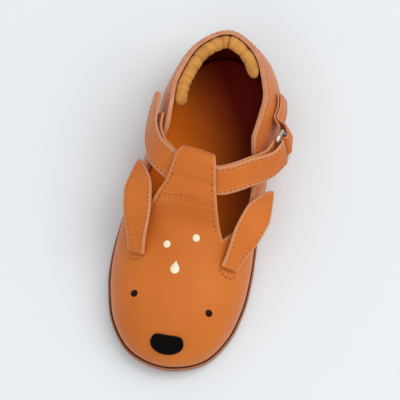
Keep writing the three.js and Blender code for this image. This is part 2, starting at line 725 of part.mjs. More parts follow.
// Tab: sewn on the medial quarter, drawn up round the ring's rear bar and laid back over itself.
function tabSolid(ring) {
  const bar = ring.centre.clone().addScaledVector(ring.ahead, RING_REACH);
  const radius = RING_WIRE / 2 + GAP + TAB_THICKNESS / 2;
  const low = GAP + 0.1 + TAB_THICKNESS / 2;
  const high = low + TAB_THICKNESS + 0.2;
  const near = (k) => 1 - ease(k / 0.3); // 1 at the ring, 0 where the tab lies flat
  const spot = (k, off) => wallPlace(
    lerp(TAB_SPAN[0], TAB_SPAN[1], k), lerp(TAB_HEIGHT[0], TAB_HEIGHT[1], k) * COLLAR_HEIGHT, off);
  const turn = steps(7).map((k) => {
    const out = ring.up.clone().multiplyScalar(-Math.cos(Math.PI * k))
      .addScaledVector(ring.ahead, -Math.sin(Math.PI * k));
    const centre = bar.clone().addScaledVector(out, radius);
    return { centre, normal: out.clone().negate(), wide: ring.wide.clone().negate() };
  });
  const under = framesOf((k) => spot(1 - k, low + 3.55 * near(1 - k)), 9);
  const over = framesOf((k) => spot(lerp(0, 0.97, k), high + 5.95 * near(k)), 12)
    .map((f) => ({ centre: f.centre, wide: f.wide.clone().negate(), normal: f.normal.clone().negate() }));
  return band([...under, ...turn, ...over], () => TAB_WIDTH / 2, TAB_THICKNESS);
}

// Ears and nose

function earSolid({ root, tip, off, arch }) {
  const from = place(root.along, root.round, GAP + 0.3 + EAR_THICKNESS / 2).point;
  const to = place(tip.along, tip.round, off).point;
  const up = new THREE.Vector3(0, 0, 1);
  const path = (k) => {
    const on = place(lerp(root.along, tip.along, k), lerp(root.round, tip.round, k ** 1.6), 0);
    return {
      point: mix(from, to, k).addScaledVector(up, 4 * arch * k * (1 - k)),
      normal: mix(on.normal, up, 0.5 * ease(k * 1.4)).normalize(),
    };
  };
  const count = 12;
  const frames = framesOf(path, count);
  const leaf = (k) => {
    const swell = Math.sin(Math.PI * clamp(k * 0.86 + 0.06, 0, 1)) ** 0.8;
    const point = Math.sqrt(clamp((1 - k) * 3.2 + 0.01, 0, 1));
    return Math.max(0.6, (lerp(EAR_BASE, EAR_WIDTH, swell * ease(k * 2.4 + 0.02)) / 2) * point);
  };
  return band(frames, (n) => leaf(n / count), EAR_THICKNESS, 2);
}

function noseSolid() {
  const rim = steps(28).slice(0, -1).map((k) => {
    const a = 2 * Math.PI * k;
    const c = Math.cos(a);
    const s = Math.sin(a);
    const x = Math.sign(c) * Math.abs(c) ** 0.8 * (s > 0 ? 1 : 1 - 0.12 * s * s);
    const y = s > 0 ? 0.72 * s ** 0.55 : s;
    return [x * (NOSE_WIDTH / 2), y * (NOSE_LENGTH / 2)];
  });
  const reach = onToe(0, NOSE_ROUND).distanceTo(onToe(0, NOSE_ROUND + 0.1)) / 0.1;
  const radius = Math.abs(onToe(0, NOSE_ROUND).y - TOE_CENTRE);
  const at = ([x, y], off) => {
    const t = ((Math.atan2(x, radius) * 180) / Math.PI / 90) * TOE_SIDE_KNOT;
    const round = NOSE_ROUND - y / reach;
    return toePlace(t, round, off).point;
  };
  const scaled = (k) => rim.map(([x, y]) => [x * k, y * k]);
  return rings([
    scaled(0.5).map((p) => at(p, GAP)),
    scaled(0.995).map((p) => at(p, GAP)),
    scaled(1).map((p) => at(p, GAP + NOSE_THICKNESS * 0.55)),
    scaled(0.93).map((p) => at(p, GAP + NOSE_THICKNESS)),
    scaled(0.5).map((p) => at(p, GAP + NOSE_THICKNESS)),
  ]);
}

// Shoe

const colours = {
  leather: 0xcd7332, rubber: 0xa9683f, insole: 0xb5561c, lining: 0xc98a45, metal: 0xc9c2b4, nose: 0x14110f,
};
function material(colour, roughness, metalness = 0) {
  return new THREE.MeshStandardMaterial({ color: colours[colour], roughness, metalness });
}

function geometryOf(solid) {
  const mesh = solid.getMesh();
  const positions = new Float32Array(mesh.numVert * 3);
  for (let i = 0; i < mesh.numVert; i++) {
    for (let c = 0; c < 3; c++) positions[3 * i + c] = mesh.vertProperties[mesh.numProp * i + c];
  }
  const geometry = new THREE.BufferGeometry();
  geometry.setAttribute("position", new THREE.BufferAttribute(positions, 3));
  geometry.setIndex(new THREE.BufferAttribute(new Uint32Array(mesh.triVerts), 1));
  geometry.computeVertexNormals();
  return geometry;
}

const shoe = new THREE.Group();
function addPiece(name, solid, finish) {
  const mesh = new THREE.Mesh(geometryOf(solid), finish);
  mesh.name = name;
  shoe.add(mesh);
}

const leather = material("leather", 0.55);
const { strap, ring } = strapAndRing();
addPiece("outsole", outsoleSolid(), material("rubber", 0.8));
addPiece("insole", insoleSolid(), material("insole", 0.7));
addPiece("upper", upperSolid(), leather);
addPiece("collar_lining", liningSolid(), material("lining", 0.65));
addPiece("strap", strap, leather);
addPiece("strap_ring", ringSolid(ring), material("metal", 0.3, 1));
addPiece("ring_tab", tabSolid(ring), leather);
EARS.forEach((ear) => addPiece(ear.name, earSolid(ear), leather));
addPiece("nose_patch", noseSolid(), material("nose", 0.45));

// The origin is put at the middle of the shoe's footprint, on the ground.
const box = new THREE.Box3().setFromObject(shoe);
const middle = box.getCenter(new THREE.Vector3());
shoe.children.forEach((mesh) => mesh.geometry.translate(-middle.x, -middle.y, -box.min.z));

export default shoe;
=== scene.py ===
import math

import bpy
import numpy as np
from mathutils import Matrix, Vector
from mathutils.kdtree import KDTree


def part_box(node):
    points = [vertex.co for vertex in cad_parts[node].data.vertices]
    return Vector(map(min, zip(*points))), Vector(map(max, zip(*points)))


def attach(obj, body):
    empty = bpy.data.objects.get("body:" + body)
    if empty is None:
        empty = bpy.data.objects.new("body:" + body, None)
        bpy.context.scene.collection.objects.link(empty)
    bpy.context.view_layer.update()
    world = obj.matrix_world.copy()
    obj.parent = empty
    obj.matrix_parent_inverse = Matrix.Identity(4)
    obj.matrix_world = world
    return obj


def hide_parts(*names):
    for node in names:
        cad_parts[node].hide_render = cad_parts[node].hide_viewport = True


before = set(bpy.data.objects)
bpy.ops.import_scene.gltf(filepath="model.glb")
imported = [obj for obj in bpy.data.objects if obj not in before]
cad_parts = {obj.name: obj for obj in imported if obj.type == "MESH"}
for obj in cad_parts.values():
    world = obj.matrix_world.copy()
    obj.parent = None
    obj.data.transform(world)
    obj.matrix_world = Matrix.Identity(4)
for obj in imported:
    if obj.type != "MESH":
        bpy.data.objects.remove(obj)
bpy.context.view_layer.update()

# ---------------------------------------------------------------- Outsole
# The real piece is a thin moulded rubber sole, tan, with a low heel, a slight arch and a sprung toe.
# Its rim stands out a little past the leather, and the upper is glued and sewn down on it along the rim.
# The outline of the foot is worked out here first, because every other piece stands on it.

SHOE_LENGTH = 142
BALL_WIDTH = 61
SOLE_WELT = 1.2
TREAD_DEPTH = 1.1
TREAD_GROOVE = 1.8
SOLE_GAP = 0.35
TOE = [(-0.5, -0.06, -0.06), (-0.469, 0.188, -0.3), (-0.3875, 0.335, -0.452)]
SIDES = [
    (-0.289, 0.405, -0.52), (-0.197, 0.425, -0.54), (-0.085, 0.42, -0.52), (0.028, 0.408, -0.472),
    (0.141, 0.412, -0.42), (0.239, 0.423, -0.385), (0.324, 0.422, -0.36),
]
HEEL = [(0.4475, 0.305, -0.235), (0.505, 0.034, 0.034)]
HALF_OUTLINE = TOE + SIDES + HEEL
HEEL_KNOT = len(HALF_OUTLINE) - 1
KNOTS = 2 * HEEL_KNOT
TOE_SIDE_KNOT = len(TOE)
HEEL_SIDE_KNOT = len(TOE) + len(SIDES) - 1
TOE_CENTRE = SIDES[0][0] * SHOE_LENGTH
HEEL_CENTRE = SIDES[-1][0] * SHOE_LENGTH
KNOT_POINTS = np.array(
    [(medial * BALL_WIDTH, along * SHOE_LENGTH) for along, medial, _ in HALF_OUTLINE]
    + [(lateral * BALL_WIDTH, along * SHOE_LENGTH) for along, _, lateral in HALF_OUTLINE[-2:0:-1]]
)


def curve(a, b, d, e, k):
    """Catmull-Rom curve between b and d."""
    return 0.5 * (2 * b + (d - a) * k + (2 * a - 5 * b + 4 * d - e) * k**2 + (3 * b - a - 3 * d + e) * k**3)


def outline(t):
    """Point of the foot's outline at a loop position, which runs from the toe over the medial side."""
    t = np.asarray(t, float)
    i = np.floor(t).astype(int)
    a, b, d, e = (KNOT_POINTS[(i + n) % KNOTS] for n in (-1, 0, 1, 2))
    return curve(a, b, d, e, (t - i)[..., None])


def spine(t):
    """Point of the middle line that faces a point of the outline."""
    t = np.asarray(t, float) % KNOTS
    y = np.clip(outline(np.where(t <= HEEL_KNOT, t, KNOTS - t))[..., 1], TOE_CENTRE, HEEL_CENTRE)
    front = (SIDES[0][1] + SIDES[0][2]) / 2 * BALL_WIDTH
    rear = (SIDES[-1][1] + SIDES[-1][2]) / 2 * BALL_WIDTH
    k = (y - TOE_CENTRE) / (HEEL_CENTRE - TOE_CENTRE)
    return np.stack([front + (rear - front) * k, y], -1)


def through(rows, column):
    """A smooth function through a table, without overshoot."""
    x = np.array([r[0] for r in rows], float)
    y = np.array([r[column] for r in rows], float)
    slope = np.diff(y) / np.diff(x)
    a, b = slope[:-1], slope[1:]
    middle = np.where(a * b > 0, 2 * a * b / np.where(a + b == 0, 1, a + b), 0)
    bend = np.concatenate([slope[:1], middle, slope[-1:]])

    def at(v):
        v = np.clip(v, x[0], x[-1])
        i = np.clip(np.searchsorted(x, v, side="right") - 1, 0, len(x) - 2)
        h = x[i + 1] - x[i]
        k = (v - x[i]) / h
        return (
            (2 * k**3 - 3 * k**2 + 1) * y[i] + (k**3 - 2 * k**2 + k) * h * bend[i]
            + (3 * k**2 - 2 * k**3) * y[i + 1] + (k**3 - k**2) * h * bend[i + 1]
        )

    return at


SOLE_HEIGHTS = [
    (-0.51, 9, 4.4), (-0.42, 6.5, 1.7), (-0.33, 5.05, 0.2), (-0.28, 4.8, 0), (-0.09, 4.8, 0),
    (0.06, 5.5, 1.1), (0.18, 6, 0), (0.51, 6.4, 0),
]
sole_top = through(SOLE_HEIGHTS, 1)
sole_ground = through(SOLE_HEIGHTS, 2)

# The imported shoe's origin is the middle of its footprint; the sole's box gives the small shift back.
sole_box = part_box("outsole")
foot_edge = outline(np.linspace(0, KNOTS, 4 * KNOTS + 1))
SHIFT = np.array([
    (sole_box[0][0] + sole_box[1][0]) * 500 - (foot_edge[:, 0].min() + foot_edge[:, 0].max()) / 2,
    (sole_box[0][1] + sole_box[1][1]) * 500 - (foot_edge[:, 1].min() + foot_edge[:, 1].max()) / 2,
    0,
])


def mesh_piece(name, points, faces, material_of_face=None, materials=(), smooth=True):
    mesh = bpy.data.meshes.new(name)
    mesh.from_pydata([tuple(p) for p in (np.asarray(points) + SHIFT) / 1000], [], [tuple(map(int, f)) for f in faces])
    for material in materials:
        mesh.materials.append(material)
    mesh.polygons.foreach_set("use_smooth", [smooth] * len(mesh.polygons))
    if material_of_face is not None:
        mesh.polygons.foreach_set("material_index", [int(m) for m in material_of_face])
    mesh.update()
    piece = bpy.data.objects.new(name, mesh)
    bpy.context.scene.collection.objects.link(piece)
    return piece


def soften_edges(piece, width, angle=50, segments=2):
    bevel = piece.modifiers.new("edges", "BEVEL")
    bevel.width = width / 1000
    bevel.segments = segments
    bevel.limit_method = "ANGLE"
    bevel.angle_limit = math.radians(angle)
    bevel.use_clamp_overlap = True


def settle(piece):
    graph = bpy.context.evaluated_depsgraph_get()
    baked = bpy.data.meshes.new_from_object(piece.evaluated_get(graph))
    piece.modifiers.clear()
    piece.data = baked


def loft(rings, closed_run=False, caps=True):
    """Points and faces of a skin over closed rings."""
    rings = np.asarray(rings, float)
    count, sides = rings.shape[:2]
    index = np.arange(count * sides).reshape(count, sides)
    runs = index if not closed_run else np.vstack([index, index[:1]])
    a, b = runs[:-1], runs[1:]
    faces = np.stack([a, np.roll(a, -1, 1), np.roll(b, -1, 1), b], -1).reshape(-1, 4).tolist()
    points = rings.reshape(-1, 3)
    if caps and not closed_run:
        for row, flip in ((0, True), (count - 1, False)):
            points = np.vstack([points, rings[row].mean(0)])
            middle = len(points) - 1
            for i in range(sides):
                p, q = int(index[row][i]), int(index[row][(i + 1) % sides])
                faces.append([middle, q, p] if flip else [middle, p, q])
    return points, faces


def srgb(r, g, b):
    return tuple((v / 255 / 12.92) if v <= 10 else ((v / 255 + 0.055) / 1.055) ** 2.4 for v in (r, g, b)) + (1.0,)


def mixed(tree, share, first, second):
    mix = tree.nodes.new("ShaderNodeMix")
    mix.data_type = "RGBA"
    mix.inputs[7].default_value = second
    tree.links.new(share, mix.inputs[0])
    tree.links.new(first, mix.inputs[6])
    return mix.outputs[2]


# Where the painted shade of the insides comes in: darker towards the heel and the inner side, where the heel and the
# inner wall shade the inside.
PAINTED_SHADE_COURSE, PAINTED_SHADE_RANGE = (22.0, 12.0, 0), (-0.1, 0.72)


def store_painted_sheen(piece, shares):
    """Stores the share of painted sheen at each point: 1 at a sewn edge, 0 on the open face."""
    piece.data.attributes.new("painted_sheen", "FLOAT", "POINT").data.foreach_set("value", np.asarray(shares, np.float32))


def band_painted_sheen(rings, centre, wide, half, reach=1.0):
    """The share of painted sheen at each point of a lofted band, by its distance from the band's edge."""
    from_edge = half[:, None] - np.abs(((rings - centre[:, None]) * wide[:, None]).sum(-1))
    return np.concatenate([np.clip(1 - from_edge / reach, 0, 1).ravel(), [1, 1]])


def finish_nodes(name, colour, darker, roughness, patch_size, grain_size, grain_depth, painted_sheen=None, painted_shade=None,
                 **constants):
    """A material whose colour drifts between two tones in soft patches and whose face carries a grain.

    The painted sheen colour shows where a mesh's attribute of the same name is 1, at sewn edges, where the rounded
    leather catches light at a grazing angle. The painted shade colour comes in towards the heel and the inner side.
    """
    material = bpy.data.materials.new(name)
    material.use_nodes = True
    tree = material.node_tree
    shader = tree.nodes["Principled BSDF"]
    for socket, value in constants.items():
        shader.inputs[socket.replace("_", " ")].default_value = value
    place = tree.nodes.new("ShaderNodeTexCoord")
    patches = tree.nodes.new("ShaderNodeTexNoise")
    patches.inputs["Scale"].default_value = 1 / patch_size
    patches.inputs["Detail"].default_value = 5
    tones = tree.nodes.new("ShaderNodeValToRGB")
    tones.color_ramp.elements[0].position = 0.32
    tones.color_ramp.elements[0].color = darker
    tones.color_ramp.elements[1].position = 0.66
    tones.color_ramp.elements[1].color = colour
    tree.links.new(place.outputs["Object"], patches.inputs["Vector"])
    tree.links.new(patches.outputs["Fac"], tones.inputs["Fac"])
    face_colour = tones.outputs["Color"]
    # Painted sheen: a paler, pinker tone mixed in near sewn edges, where the rounded leather catches light at a
    # grazing angle.
    if painted_sheen:
        share = tree.nodes.new("ShaderNodeAttribute")
        share.attribute_name = "painted_sheen"
        face_colour = mixed(tree, share.outputs["Fac"], face_colour, painted_sheen)
    # Painted shade: the colour darkens to a dark red along a course towards the heel and the inner side.
    if painted_shade:
        course = tree.nodes.new("ShaderNodeVectorMath")
        course.operation = "DOT_PRODUCT"
        course.inputs[1].default_value = PAINTED_SHADE_COURSE
        tree.links.new(place.outputs["Object"], course.inputs[0])
        share = tree.nodes.new("ShaderNodeMapRange")
        share.inputs["From Min"].default_value, share.inputs["From Max"].default_value = PAINTED_SHADE_RANGE
        tree.links.new(course.outputs["Value"], share.inputs["Value"])
        face_colour = mixed(tree, share.outputs["Result"], face_colour, painted_shade)
    tree.links.new(face_colour, shader.inputs["Base Color"])
    gloss = tree.nodes.new("ShaderNodeMapRange")
    gloss.inputs["To Min"].default_value = roughness - 0.06
    gloss.inputs["To Max"].default_value = roughness + 0.08
    tree.links.new(patches.outputs["Fac"], gloss.inputs["Value"])
    tree.links.new(gloss.outputs["Result"], shader.inputs["Roughness"])
    cells = tree.nodes.new("ShaderNodeTexVoronoi")
    cells.feature = "SMOOTH_F1"
    cells.inputs["Scale"].default_value = 1 / grain_size
    fine = tree.nodes.new("ShaderNodeTexNoise")
    fine.inputs["Scale"].default_value = 1.7 / grain_size
    fine.inputs["Detail"].default_value = 3
    tree.links.new(place.outputs["Object"], cells.inputs["Vector"])
    tree.links.new(place.outputs["Object"], fine.inputs["Vector"])
    both = tree.nodes.new("ShaderNodeMath")
    both.operation = "ADD"
    tree.links.new(cells.outputs["Distance"], both.inputs[0])
    tree.links.new(fine.outputs["Fac"], both.inputs[1])
    bump = tree.nodes.new("ShaderNodeBump")
    bump.inputs["Strength"].default_value = 0.5
    bump.inputs["Distance"].default_value = grain_depth
    tree.links.new(both.outputs[0], bump.inputs["Height"])
    tree.links.new(bump.outputs["Normal"], shader.inputs["Normal"])
    return material


sole_rubber = finish_nodes(
    "sole_rubber", srgb(178, 118, 84), srgb(160, 100, 68), 0.62, 0.012, 0.0006, 0.00008, Specular_IOR_Level=0.35)
# The dark strip on the sole's top at the foot of the upper is painted shade, for the shadow in the gap between upper
# and sole.
sole_shade_line = finish_nodes(
    "sole_shade_line", srgb(92, 36, 16), srgb(66, 24, 10), 0.75, 0.01, 0.0006, 0.00008, Specular_IOR_Level=0.12)

AROUND = np.linspace(0, KNOTS, 12 * KNOTS + 1)[:-1]


def sole_ring(inset, height):
    """A ring at the sole's outline, moved in by inset."""
    p = outline(AROUND)
    run = outline(AROUND + 0.05) - outline(AROUND - 0.05)
    run /= np.linalg.norm(run, axis=1)[:, None]
    p = p + np.stack([-run[:, 1], run[:, 0]], 1) * inset
    return np.column_stack([p, height(p[:, 1] / SHOE_LENGTH)])


def spine_ring(height, share):
    """A ring between the spine (0) and the outline (1)."""
    p = outline(AROUND) * share + spine(AROUND) * (1 - share)
    return np.column_stack([p, height(p[:, 1] / SHOE_LENGTH)])


def sole_level(share):
    return lambda along: sole_ground(along) + (sole_top(along) - SOLE_GAP - sole_ground(along)) * share


# Inset from the rim and share of the height, from the seat down: the dark line of painted shade under the upper, the
# rim, a fine groove, the ground.
SOLE_SIDE = [
    (1.5, 1.0), (0.62, 1.0), (0.56, 0.98), (0.5, 1.0), (0.3, 1.0), (0.1, 0.97), (0.0, 0.9), (-0.02, 0.76),
    (0.0, 0.62), (0.1, 0.585), (0.42, 0.56), (0.45, 0.53), (0.2, 0.49), (0.12, 0.44), (0.1, 0.3), (0.22, 0.2),
    (0.5, 0.1), (0.95, 0.03), (1.5, 0.0),
]
GROOVES_ALONG = (-0.395, -0.345, -0.3, -0.15, -0.1, 0.22, 0.27, 0.4)
GROOVE_HALF_LENGTH = 45
SHADE_LINE_RINGS = 4
rings = [spine_ring(sole_level(1), s) for s in (0.0, 0.5, 0.9)]
rings += [sole_ring(inset - SOLE_WELT, sole_level(share)) for inset, share in SOLE_SIDE]
rings += [spine_ring(sole_level(0), s) for s in (0.85, 0.5, 0.0)]
points, faces = loft(rings, caps=False)
# The faces of the first rings take the painted shade of the gap under the upper.
shade_line_faces = SHADE_LINE_RINGS * len(AROUND)
outsole = mesh_piece(
    "outsole_moulded", points, faces, [1 if n < shade_line_faces else 0 for n in range(len(faces))],
    [sole_rubber, sole_shade_line])
for along in GROOVES_ALONG:
    y = along * SHOE_LENGTH
    z = float(sole_ground(along))
    corners = [
        (x, y + dy, z + dz) for x in (-GROOVE_HALF_LENGTH, GROOVE_HALF_LENGTH)
        for dy in (-TREAD_GROOVE / 2, TREAD_GROOVE / 2)
        for dz in (-TREAD_DEPTH, TREAD_DEPTH)
    ]
    box_faces = [(0, 1, 3, 2), (4, 6, 7, 5), (0, 4, 5, 1), (2, 3, 7, 6), (0, 2, 6, 4), (1, 5, 7, 3)]
    groove = mesh_piece("groove", corners, box_faces, smooth=False)
    cut = outsole.modifiers.new("groove", "BOOLEAN")
    cut.operation = "DIFFERENCE"
    cut.object = groove
    cut.solver = "EXACT"
    settle(outsole)
    bpy.data.objects.remove(groove)
outsole.data.polygons.foreach_set("use_smooth", [True] * len(outsole.data.polygons))
outsole.data.set_sharp_from_angle(angle=math.radians(38))
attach(outsole, "root")
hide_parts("outsole")

# ---------------------------------------------------------------- Insole
# The footbed is thin foam covered in orange-brown leather, cupped a little at the heel and loose inside.
# The mark on the real one is left off; its soft press of the foot and its edge are kept.

WALL = 1.8
INSOLE_THICKNESS = 2.6
# The dark red that the insole takes towards the heel and the inner side is painted shade.
insole_leather = finish_nodes(
    "insole_leather", srgb(238, 130, 20), srgb(222, 106, 14), 0.72, 0.02, 0.0007, 0.00007, painted_shade=srgb(116, 22, 6),
    Specular_IOR_Level=0.12)


def insole_level(up):
    return lambda along: sole_top(along) + up


FOOTBED_PLAY = 0.9
foot_inset = WALL + FOOTBED_PLAY
rings = [
    spine_ring(insole_level(INSOLE_THICKNESS + up), share)
    for share, up in ((0.0, -0.15), (0.3, -0.12), (0.55, 0.0), (0.75, 0.15))
]
rings += [
    sole_ring(foot_inset + inset, insole_level(up))
    for inset, up in ((1.6, INSOLE_THICKNESS + 0.15), (0.8, INSOLE_THICKNESS - 0.05), (0.3, INSOLE_THICKNESS - 0.4),
                      (0.05, INSOLE_THICKNESS - 0.9), (0.0, 0.5), (0.1, 0.12))
]
rings += [spine_ring(insole_level(0.12), share) for share in (0.5, 0.0)]
points, faces = loft(rings, caps=False)
insole = mesh_piece("insole_cover", points, faces, None, [insole_leather])
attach(insole, "root")
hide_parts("insole")

# ---------------------------------------------------------------- Upper
# One leather shell with a thin lining: the vamp runs up into the T-bar, whose end is turned over the strap and
# sewn down, and the walls run back round the heel. Cut edges are sewn. It is lasted, so it keeps the last's form.

INSTEP_HEIGHT = 48
COLLAR_HEIGHT = 51
# Loop position from the toe over the medial side and the heel (11) to the lateral side: swell, drawn in.
WALLS = [
    (0, 0.012, 0), (5, 0.02, 0), (6.5, 0.07, 0.05), (8, 0.115, 0.13), (9, 0.115, 0.13), (10, 0.07, 0.07),
    (11, 0.045, 0.01), (12, 0.045, 0.05), (13, 0.045, 0.08), (14, 0.045, 0.1), (15, 0.045, 0.1),
    (16.5, 0.03, 0.03), (18, 0.012, 0), (22, 0.012, 0),
]
GAP = 0.35
LOOP_LAP = 14.5
LOOP_DIP = 1.3
STRAP_THICKNESS = 1.5
RIDGE = [
    (-0.5, 0.47, 2.3), (-0.35, 0.55, 2.3), (-0.2, 0.635, 2.25), (-0.07, 0.745, 2.25), (0.085, 1.0, 2.3),
    (0.16, 1.13, 2.7), (0.24, 1.24, 3.1), (0.324, 1.3, 3.4), (0.5, 1.32, 3.4),
]
TOP_EDGE = [
    (-0.115, 0.56), (-0.05, 0.51), (0.0, 0.5), (0.05, 0.54), (0.1, 0.64), (0.15, 0.775), (0.185, 0.83),
    (0.25, 0.84), (0.33, 0.87), (0.43, 0.95), (0.5, 1.0),
]
T_BAR = [
    (-0.125, 0.24, 0.345), (-0.09, 0.2, 0.318), (-0.05, 0.17, 0.294), (-0.02, 0.15, 0.27),
    (0.02, 0.122, 0.225), (0.07, 0.095, 0.203), (0.095, 0.085, 0.19),
]
CUT_OUT_FRONT = -0.125
CUT_OUT_ROUND = 7
T_BAR_TOP = (0.084, 0.069)
ridge_share, ridge_power = through(RIDGE, 1), through(RIDGE, 2)
top_share = through(TOP_EDGE, 1)
swell_at, drawn_at = through(WALLS, 1), through(WALLS, 2)
bar_medial, bar_lateral = through(T_BAR, 1), through(T_BAR, 2)


def ease(v):
    v = np.clip(v, 0, 1)
    return v * v * (3 - 2 * v)


def turned(a):
    return np.sin(np.clip(np.abs(a), 0, 1) * math.pi / 2)


# The swell is a bump over the wall's height, which its factor brings to 1; the draw-in grows towards the collar.
SWELL_RISE, SWELL_FACTOR = 40, 6.75
DRAWN_FROM, DRAWN_OVER, DRAWN_MOST = 6, 32, 1.2
CENTRE_DEPTH = 12.0


def last_point(t, q):
    """Point of the last over loop position t, from the ridge (q = 0) down to the outline (q = 1)."""
    t, q = np.broadcast_arrays(np.asarray(t, float), np.asarray(q, float))
    foot, mid = outline(t), spine(t)
    seat = sole_top(foot[..., 1] / SHOE_LENGTH)
    y = mid[..., 1] + (foot[..., 1] - mid[..., 1]) * q
    roof = ridge_share(y / SHOE_LENGTH) * INSTEP_HEIGHT
    power = ridge_power(mid[..., 1] / SHOE_LENGTH)
    rise = (roof - seat) * np.maximum(0, 1 - q**power) ** (1 / power)
    high = np.clip(rise / SWELL_RISE, 0, 1)
    swell = swell_at(t % KNOTS) * SWELL_FACTOR * high * (1 - high) ** 2
    drawn = drawn_at(t % KNOTS) * np.clip((rise - DRAWN_FROM) / DRAWN_OVER, 0, DRAWN_MOST) ** 2
    out = q * (1 + swell - drawn)
    plan = mid + (foot - mid) * out[..., None]
    return np.concatenate([plan, (seat + rise)[..., None]], -1)


def solve(lo, hi, is_low, shape):
    lo, hi = np.full(shape, float(lo)), np.full(shape, float(hi))
    for _ in range(36):
        m = (lo + hi) / 2
        low = is_low(m)
        lo, hi = np.where(low, m, lo), np.where(low, hi, m)
    return (lo + hi) / 2


side_places = np.linspace(TOE_SIDE_KNOT, HEEL_SIDE_KNOT, 6001)
side_stations = outline(side_places)[:, 1] / SHOE_LENGTH


def side_knot(along, medial):
    t = np.interp(along, side_stations, side_places)
    return np.where(medial, t, KNOTS - t)


def turn_at_height(t, height):
    t, height = np.broadcast_arrays(np.asarray(t, float), np.asarray(height, float))
    return solve(0, 1, lambda m: last_point(t, turned(m))[..., 2] > height, t.shape)


def stand_off(at, u, v, step, off):
    """Point and outward normal of a face, moved off along the normal."""
    u, v = np.broadcast_arrays(np.asarray(u, float), np.asarray(v, float))
    point = at(u, v)
    normal = np.cross(at(u + step, v) - at(u - step, v), at(u, v + step) - at(u, v - step))
    normal /= np.maximum(np.linalg.norm(normal, axis=-1), 1e-9)[..., None]
    away = np.stack([
        point[..., 0], point[..., 1] - np.clip(point[..., 1], TOE_CENTRE, HEEL_CENTRE),
        np.full(point.shape[:-1], CENTRE_DEPTH)
    ], -1)
    normal = np.where((normal * away).sum(-1)[..., None] < 0, -normal, normal)
    return point + normal * np.asarray(off, float)[..., None], normal


def on_arch(along, turn):
    return last_point(side_knot(along, np.asarray(turn) >= 0), turned(turn))


def place(along, turn, off=0.0):
    return stand_off(on_arch, along, turn, 0.002, np.broadcast_to(off, np.broadcast(along, turn).shape))


def on_wall(t, height):
    return last_point(t, turned(turn_at_height(t, height)))


def wall_place(t, height, off=0.0):
    return stand_off(on_wall, t, height, 0.02, np.broadcast_to(off, np.broadcast(t, height).shape))


def toe_place(t, turn, off=0.0):
    return stand_off(
        lambda u, v: last_point(u, turned(v)), t, turn, 0.004, np.broadcast_to(off, np.broadcast(t, turn).shape))


LOOP_LIFT = WALL + 2 * STRAP_THICKNESS + 4 * GAP - LOOP_DIP
LAP_LOW = -WALL - LOOP_DIP
LAP_END = T_BAR_TOP[1] - LOOP_LAP / SHOE_LENGTH
RAMP = (CUT_OUT_FRONT + 1 / SHOE_LENGTH, LAP_END + 2.2 / SHOE_LENGTH)
CUT_END = CUT_OUT_FRONT + CUT_OUT_ROUND * 1.5 / SHOE_LENGTH


def bar_lift(along):
    return LOOP_LIFT * ease((along - RAMP[0]) / (RAMP[1] - RAMP[0]))


def bar_edge(along, side, share):
    """Turn at which the T-bar's lifted face, seen from above, reaches its table's edge."""
    middle = spine(side_knot(along, side > 0))[..., 0]
    return solve(0, 0.9, lambda m: np.abs(
        place(along, side * m, bar_lift(along))[0][..., 0] - middle) < share(along) * BALL_WIDTH, along.shape)


bar_stations = np.linspace(CUT_OUT_FRONT, 0.1, 61)
bar_edges = [bar_edge(bar_stations, -1, bar_lateral), bar_edge(bar_stations, 1, bar_medial)]
join_turn = [float(bar_edges[0][0]), float(bar_edges[1][0])]


def bar_turn(along, k):
    lateral, medial = (np.interp(along, bar_stations, edge) for edge in bar_edges)
    return (1 - k) * -lateral + k * medial


def bar_place(along, k, off):
    return place(along, bar_turn(along, k), off)


def edge_turn(along, medial):
    """Turn of the wall's top edge, with the round front corner of the cut-out."""
    full = turn_at_height(side_knot(along, medial), top_share(along) * COLLAR_HEIGHT)
    k = np.clip((along - CUT_OUT_FRONT) * SHOE_LENGTH / CUT_OUT_ROUND, 0, 1)
    return join_turn[int(medial)] * (1 - np.sqrt(1 - (1 - k) ** 2)) + full * np.sqrt(1 - (1 - k) ** 2)


SIDE_COLUMNS, BAR_COLUMNS, TOE_ROWS = 14, 24, 24
side_steps, bar_steps = np.linspace(0, 1, SIDE_COLUMNS + 1), np.linspace(0, 1, BAR_COLUMNS + 1)
cut_rows = CUT_OUT_FRONT + (CUT_END - CUT_OUT_FRONT) * np.array(
    [0, 0.01, 0.03, 0.06, 0.1, 0.15, 0.22, 0.3, 0.4, 0.52, 0.66, 0.82, 1])
arch_turns = np.concatenate([
    -(1 + (join_turn[0] - 1) * side_steps),
    (-join_turn[0] + (join_turn[0] + join_turn[1]) * bar_steps)[1:-1],
    join_turn[1] + (1 - join_turn[1]) * side_steps,
])


def toe_patch():
    b = 1 - np.linspace(0, 1, TOE_ROWS + 1)[:, None]
    a = arch_turns[None, :]
    x, y = a * np.sqrt(1 - b * b / 2), b * np.sqrt(1 - a * a / 2)
    t = np.arctan2(np.abs(x), y) / (math.pi / 2) * TOE_SIDE_KNOT
    return last_point(np.where(x >= 0, t, KNOTS - t), turned(np.minimum(1, np.hypot(x, y))))


